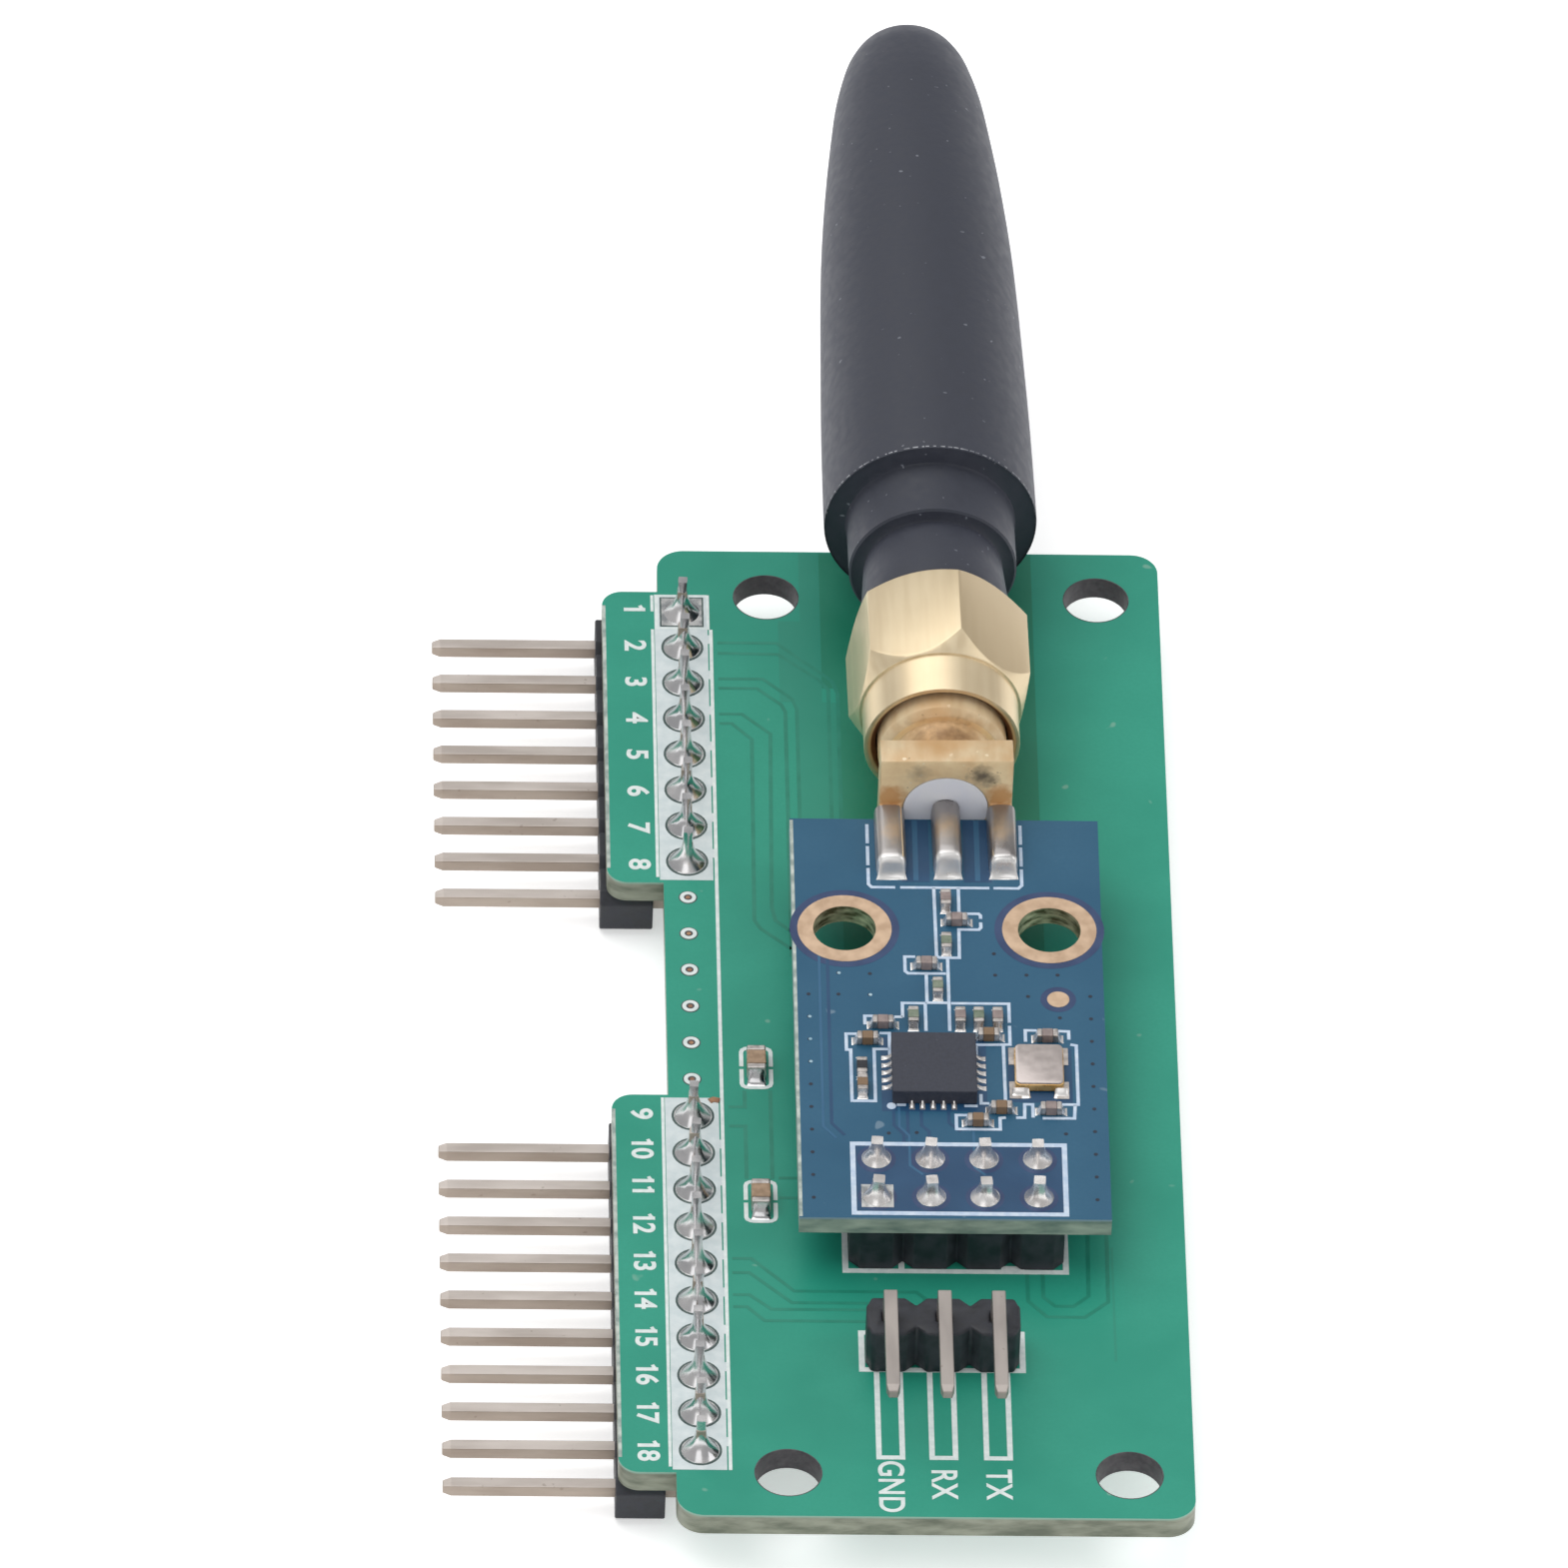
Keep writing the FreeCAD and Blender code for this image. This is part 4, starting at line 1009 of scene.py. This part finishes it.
def islands(name, place):
    """Middle and half size of each separate block of a CAD node, in millimetres, before it is placed."""
    shape = bmesh.new()
    shape.from_mesh(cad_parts[name].data)
    bmesh.ops.remove_doubles(shape, verts=shape.verts, dist=2e-6)
    bmesh.ops.transform(shape, matrix=place.inverted() @ Matrix.Scale(1 / MM, 4), verts=shape.verts)
    left, found = set(shape.verts), []
    while left:
        block, edge = set(), [left.pop()]
        while edge:
            vert = edge.pop()
            block.add(vert)
            near = {other for link_edge in vert.link_edges for other in link_edge.verts} & left
            left -= near
            edge.extend(near)
        low = Vector([min(vert.co[i] for vert in block) for i in range(3)])
        high = Vector([max(vert.co[i] for vert in block) for i in range(3)])
        found.append(((low + high) / 2, (high - low) / 2))
    shape.free()
    return found


contacts = bmesh.new()
for side in (-1, 1):
    for i in range(-2, 3):
        x, y = CHIP[0] + side * 1.96, CHIP[1] + 0.06 + 0.5 * i
        toe(contacts, x - 0.01, x + 0.01, y - 0.14, y + 0.14, (side, 0), 0.5, 0.3, RADIO_TOP + 0.01, 0.8)
        x, y = CHIP[0] - 0.08 + 0.5 * i, CHIP[1] + side * 1.96
        toe(contacts, x - 0.13, x + 0.13, y - 0.01, y + 0.01, (0, side), 0.42, 0.24, RADIO_TOP + 0.01, 0.35)
contact_solder = piece_from(contacts, "chip_contact_solder", satin_solder, LEAN, smooth=60)
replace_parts(contact_solder, "chip_contacts")

chip_tin = Finish(
    "chip_tin", (172, 166, 162), (206, 200, 196), rough=(0.3, 0.45), metal=0.8, scale=2500, bump=0.2
)
softened("small_chip_caps", 0.06, chip_tin, smooth=None)
softened("large_capacitor_caps", 0.08, chip_tin, smooth=None)
for caps, bodies, place, run, name in (
    ("small_chip_caps", ("small_capacitors", "small_inductors", "small_resistor"), LEAN, 0.26, "chip_toes"),
    ("large_capacitor_caps", ("large_capacitors",), Matrix(), 0.5, "large_capacitor_toes"),
):
    toes = bmesh.new()
    middles = [middle for body in bodies for middle, half in islands(body, place)]
    for middle, half in islands(caps, place):
        body = min(middles, key=lambda spot: (spot - middle).length)
        away = middle - body
        along = [round(away[i] / away.length) if abs(away[i]) > abs(away[1 - i]) else 0 for i in (0, 1)]
        sides = (middle.x - half.x, middle.x + half.x, middle.y - half.y, middle.y + half.y)
        toe(toes, *sides, along, run, 1.75 * half.z, middle.z - half.z)
    piece_from(toes, name, satin_solder if place is LEAN else bright_solder, place, smooth=60)
toes = bmesh.new()
for x, half in ((3.3, 0.46), (5.22, 0.36)):
    toe(toes, x - half, x + half, -8.3, -8.2, (0, -1), 0.48, 0.3, RADIO_TOP)
piece_from(toes, "crystal_toes", satin_solder, LEAN, smooth=60)
shape = bmesh.new()
for x in (3.05, 5.3):
    for y in (-5.92, -8.2):
        pad(shape, x, y, 0.29, 0.57, *layer(0.04, RADIO_TOP))
piece_from(shape, "crystal_pads", chip_tin, LEAN)
# Painted shade: the thin foot under the crystal's case is dark.
crystal_foot_shade = Finish("crystal_foot_shade", (40, 38, 44), (56, 52, 56), rough=(0.5, 0.7), scale=2400, bump=0.2)
shape = bmesh.new()
cushion(shape, CRYSTAL_SEAT, (1.12, 1.32), RADIO_TOP + 0.01, RADIO_TOP + 0.08, 0.24)
piece_from(shape, "crystal_foot_shade", crystal_foot_shade, LEAN)

# The small chips' bodies: capacitors of fired ceramic, some of them browner, green glassy inductors
# and one resistor under a black glaze. The two larger capacitors are of brown ceramic.
pink_ceramic = Finish("pink_ceramic", (136, 122, 120), (158, 142, 138), rough=(0.35, 0.5), scale=2600, bump=0.1)
for x, y in ((-4.2, -8.12), (2.35, -9.57), (1.22, -10.42), (1.85, -4.67), (-3.9, -4.97)):
    corner = LEAN @ Vector((x, y, RADIO_TOP + 0.3))
    pink_ceramic.stain(pink_ceramic.spot(corner, 0.62, 0.0), (134, 108, 82))
softened("small_capacitors", 0.03, pink_ceramic, smooth=None)
brown_ceramic = Finish(
    "brown_ceramic", (158, 130, 104), (184, 154, 126), rough=(0.35, 0.5), scale=3000, bump=0.1
)
softened("large_capacitors", 0.05, brown_ceramic, smooth=None)
glassy_green = Finish(
    "glassy_green", (108, 122, 104), (138, 148, 130), rough=(0.25, 0.4), scale=2600, bump=0.1
)
softened("small_inductors", 0.03, glassy_green, smooth=None)
black_glaze = Finish("black_glaze", (26, 28, 36), (42, 44, 52), rough=(0.25, 0.4), scale=3000)
softened("small_resistor", 0.03, black_glaze, smooth=None)

# The antenna jack: a gold-plated brass flange with a threaded barrel, and four square legs that
# straddle the board's edge inside sleeves of solder. The contact lies between the upper legs. Heat
# has tarnished the plate near the solder, and flux has left dark spots above the insulator.
AXIS = Vector((0.1, 10.18, 5.375))
AIM = LEAN @ Matrix.Translation(AXIS) @ Matrix.Rotation(math.radians(0.9), 4, "Z") @ Matrix.Translation(-AXIS)
jack_gold = Finish(
    "jack_gold", (210, 184, 144), (228, 206, 168), rough=(0.3, 0.46), metal=0.1, scale=1500, bump=0.12,
    stretch=(1, 0.25, 1)
)
# Painted highlight: faces that turn to the front are lightened to a pale gold.
jack_gold.stain(jack_gold.facing_way((0, -1, 0), 0.9, 0.97), (255, 230, 184))
tarnish = jack_gold.pattern(520, 0.42, 0.7, 4, jack_gold.point)
jack_gold.stain(tarnish.outputs["Mask"], (206, 156, 96), 0.5)
jack_gold.specks(2300, 0.27, (248, 232, 200), 0.7)
jack_gold.specks(3100, 0.25, (140, 114, 84), 0.6)
for x in (-2.5, 2.7):
    jack_gold.stain(jack_gold.spot(AIM @ Vector((x, 9.9, 6.2)), 0.95), (206, 146, 84), 0.8)
for x, z, radius, strength in ((-1.2, 7.8, 0.7, 0.4), (1.75, 7.6, 0.8, 0.85), (2.2, 7.25, 0.55, 0.6)):
    jack_gold.stain(jack_gold.spot(AIM @ Vector((x, 10.24, z)), radius, 1.2, 0.1), (78, 72, 66), strength)
jack_gold.stain(jack_gold.spot(AIM @ Vector((0.1, 12.4, 8.2)), 2.4), (206, 158, 102), 0.6)
for x, z in ((-1.5, 7.9), (1.2, 7.9), (0.2, 7.7)):
    jack_gold.stain(jack_gold.spot(AIM @ Vector((x, 12.8, z)), 1.1, 1.4, 0.1), (128, 94, 60), 0.7)
softened("jack_body", 0.06, jack_gold, merge=False)


def sleeve(shape, x, half, height, base, rear, stations, points=18):
    """Solder drawn over a leg: an arch that ends in a hollow, flaring toe. Stations are (y, wide, high)."""
    rings = []
    for y, wide, high in ((rear, 1, 1),) + stations:
        ring = []
        for i in range(points + 1):
            turn = math.pi * i / points
            side, lift = math.cos(turn), math.sin(turn)
            hollow = 1 - 0.85 * (1 - high) * (1 - abs(side)) ** 1.3
            wide_x = half * wide * math.copysign(abs(side) ** 0.55, side)
            ring.append((x + wide_x, y, base + height * high * hollow * lift ** 0.45))
        rings.append(ring)
    bridge(shape, rings)


leg_solder = Finish(
    "leg_solder", (142, 138, 137), (170, 166, 164), rough=(0.26, 0.38), metal=0.8, scale=700, bump=0.12,
    stretch=(1, 0.3, 1)
)
for x in (-2.35, 0.1, 2.6):
    leg_solder.stain(leg_solder.spot(AIM @ Vector((x, 8.4, 5.9)), 1.0, 1.2, 0.05), (206, 180, 148), 0.55)
# Painted highlight: the front of each solder toe is lightened nearly to white.
toe_highlight_y = leg_solder.add("ShaderNodeSeparateXYZ", Vector=leg_solder.point).outputs["Y"]
leg_solder.stain(leg_solder.ramp(toe_highlight_y, 6.75 * MM, 6.5 * MM), (246, 244, 242), 0.95)
TOE = (
    (7.2, 1.0, 1.0), (6.62, 0.97, 1.0), (6.5, 0.93, 0.95), (6.42, 0.9, 0.8), (6.35, 0.9, 0.6),
    (6.28, 0.92, 0.4), (6.2, 0.96, 0.2), (6.12, 1.0, 0.07), (6.06, 1.02, 0.01)
)
sleeves = bmesh.new()
sleeve(sleeves, -2.6, 0.73, 1.08, RADIO_TOP, 10.1, TOE)
sleeve(sleeves, 2.76, 0.7, 1.08, RADIO_TOP, 10.1, TOE)
sleeve(sleeves, 0.1, 0.69, 1.32, RADIO_TOP, 10.1, TOE)
upper = piece_from(sleeves, "leg_sleeves", leg_solder, AIM, smooth=60)
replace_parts(upper, "jack_solder")
FLIP = Matrix.Translation((0, 0, RADIO_TOP + RADIO_TOP - 1.0)) @ Matrix.Scale(-1, 4, (0, 0, 1))
sleeves = bmesh.new()
sleeve(sleeves, -2.55, 0.7, 1.06, RADIO_TOP, 10.1, TOE)
sleeve(sleeves, 2.76, 0.7, 1.06, RADIO_TOP, 10.1, TOE)
bmesh.ops.reverse_faces(sleeves, faces=sleeves.faces)
piece_from(sleeves, "leg_sleeves_under", leg_solder, AIM @ FLIP, smooth=60)
dress(leg_solder, "jack_contact")
white_ptfe = Finish("white_ptfe", (244, 246, 255), (250, 251, 255), rough=(0.45, 0.6), scale=700, bump=0.04)
dress(white_ptfe, "jack_insulator", "plug_insulator")

# The coupling nut: turned and milled brass with a pale gold plate, its flats faintly ground along
# their length, and a redder bore that is darkened further as painted shade round the barrel. The flat
# that faces up and to the right is darkened as painted shade.
nut_gold = Finish(
    "nut_gold", (228, 208, 172), (234, 216, 182), rough=(0.36, 0.42), metal=0.75, scale=2600, bump=0.006,
    stretch=(1, 0.06, 1)
)
wear = nut_gold.pattern(420, 0.4, 0.75, 3, nut_gold.point)
nut_gold.stain(wear.outputs["Mask"], (216, 196, 162), 0.35)


def bore_mask(finish, aim, radius):
    """Mask that is 1 within a radius of the antenna's axis, in millimetres."""
    local = finish.add("ShaderNodeMapping", Vector=finish.point)
    local.vector_type = "TEXTURE"
    local.inputs["Location"].default_value = aim @ AXIS * MM
    local.inputs["Rotation"].default_value = aim.to_euler()
    local.inputs["Scale"].default_value = (MM, MM, MM)
    parts = finish.add("ShaderNodeSeparateXYZ", Vector=local.outputs["Vector"])
    square = [finish.sum("MULTIPLY", parts.outputs[axis], parts.outputs[axis]) for axis in ("X", "Z")]
    return finish.ramp(finish.sum("SQRT", finish.sum("ADD", *square)), radius + 0.04, radius - 0.04)


# Painted shade: the flat that faces up and to the right is darkened.
nut_gold.stain(nut_gold.facing_way((0.663, 0, 0.749), 0.975, 0.99), (190, 168, 132), 0.6)
# A redder bore, darkened further as painted shade in the gap round the barrel.
nut_gold.stain(bore_mask(nut_gold, AIM, 3.42), (132, 92, 64))
softened("coupling_nut", 0.06, nut_gold)
dress(nut_gold, "plug_sleeve", "plug_pin", "spring_coil")

# The antenna's boot: one matt black rubber moulding, with a neck and a collar behind the nut and a
# body that narrows to a round end. Its front rim carries the mould's thin, ragged flash.
boot_rubber = Finish(
    "boot_rubber", (38, 42, 54), (44, 48, 60), rough=(0.5, 0.62), scale=1900, bump=0.12
)
# Painted sheen: the rubber is lightened towards its outline, where it turns away from the view.
facing = boot_rubber.tree.nodes.new("ShaderNodeLayerWeight")
facing.inputs["Blend"].default_value = 0.35
boot_rubber.stain(facing.outputs["Facing"], (98, 100, 112), 0.65)
boot_rubber.specks(2600, 0.245, (150, 154, 164), 0.5)
BOOT_FRONT = 30.06
boot_flank = (
    (0.0, 5.1), (0.1, 5.14), (2.0, 5.13), (6.6, 5.06), (11.2, 4.93), (15.8, 4.78), (19.5, 4.59),
    (23.6, 4.26), (27.7, 3.81), (29.6, 3.535), (31.4, 3.13), (32.3, 2.82), (33.1, 2.38), (33.7, 1.74),
    (34.07, 0.94), (34.2, 0.0)
)


def smooth_flank(stations, steps):
    """Points on a smooth curve through (distance, radius) stations."""
    points = []
    for i in range(len(stations) - 1):
        p0, p1 = stations[max(0, i - 1)], stations[i]
        p2, p3 = stations[i + 1], stations[min(len(stations) - 1, i + 2)]
        for step in range(steps):
            t = step / steps
            points.append(tuple(
                0.5 * (
                    2 * b + (c - a) * t + (2 * a - 5 * b + 4 * c - d) * t * t
                    + (3 * b - a - 3 * c + d) * t ** 3
                )
                for a, b, c, d in zip(p0, p1, p2, p3)
            ))
    return points + [stations[-1]]


def round_antenna(radius, turn, y):
    """A point at a radius and a turn about the antenna's axis."""
    return AXIS.x + radius * math.sin(turn), y, AXIS.z + radius * math.cos(turn)


profile = [
    (22.9, 2.66), (22.86, 2.9), (22.86, 3.6), (22.92, 3.7), (23.05, 3.72), (24.6, 3.52), (26.7, 3.36),
    (26.76, 3.44), (26.76, 3.95), (26.86, 4.05), (29.9, 4.05), (30.02, 4.12), (30.06, 4.3)
] + [(BOOT_FRONT + y, radius) for y, radius in smooth_flank(boot_flank, 5)]
turns = [2 * math.pi * i / 96 for i in range(96)]
shape = bmesh.new()
bridge(shape, [
    [round_antenna(radius, turn, y) for turn in (turns if radius else (0,))] for y, radius in profile
])
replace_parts(piece_from(shape, "boot", boot_rubber, AIM, smooth=40), "antenna_boot")

# Flash on the boot's front rim: torn scraps of rubber, each a few hundredths of a millimetre thick,
# where the two halves of the mould met. Their places are drawn with a fixed seed.
flash_rubber = Finish("flash_rubber", (96, 100, 108), (176, 178, 184), rough=(0.5, 0.7), scale=3000)
chance = random.Random(11)
shape = bmesh.new()
for step in range(52):
    start = -1.5 + 0.06 * step + chance.uniform(-0.02, 0.02)
    end = start + chance.uniform(0.008, 0.05)
    inner = chance.uniform(5.06, 5.1)
    front = BOOT_FRONT + chance.uniform(-0.015, 0.0)
    scrap = ((inner, start), (inner, end), (5.145, end), (5.145, start))
    bridge(shape, [[round_antenna(*corner, y) for corner in scrap] for y in (BOOT_FRONT + 0.06, front)])
piece_from(shape, "boot_flash", flash_rubber, AIM)
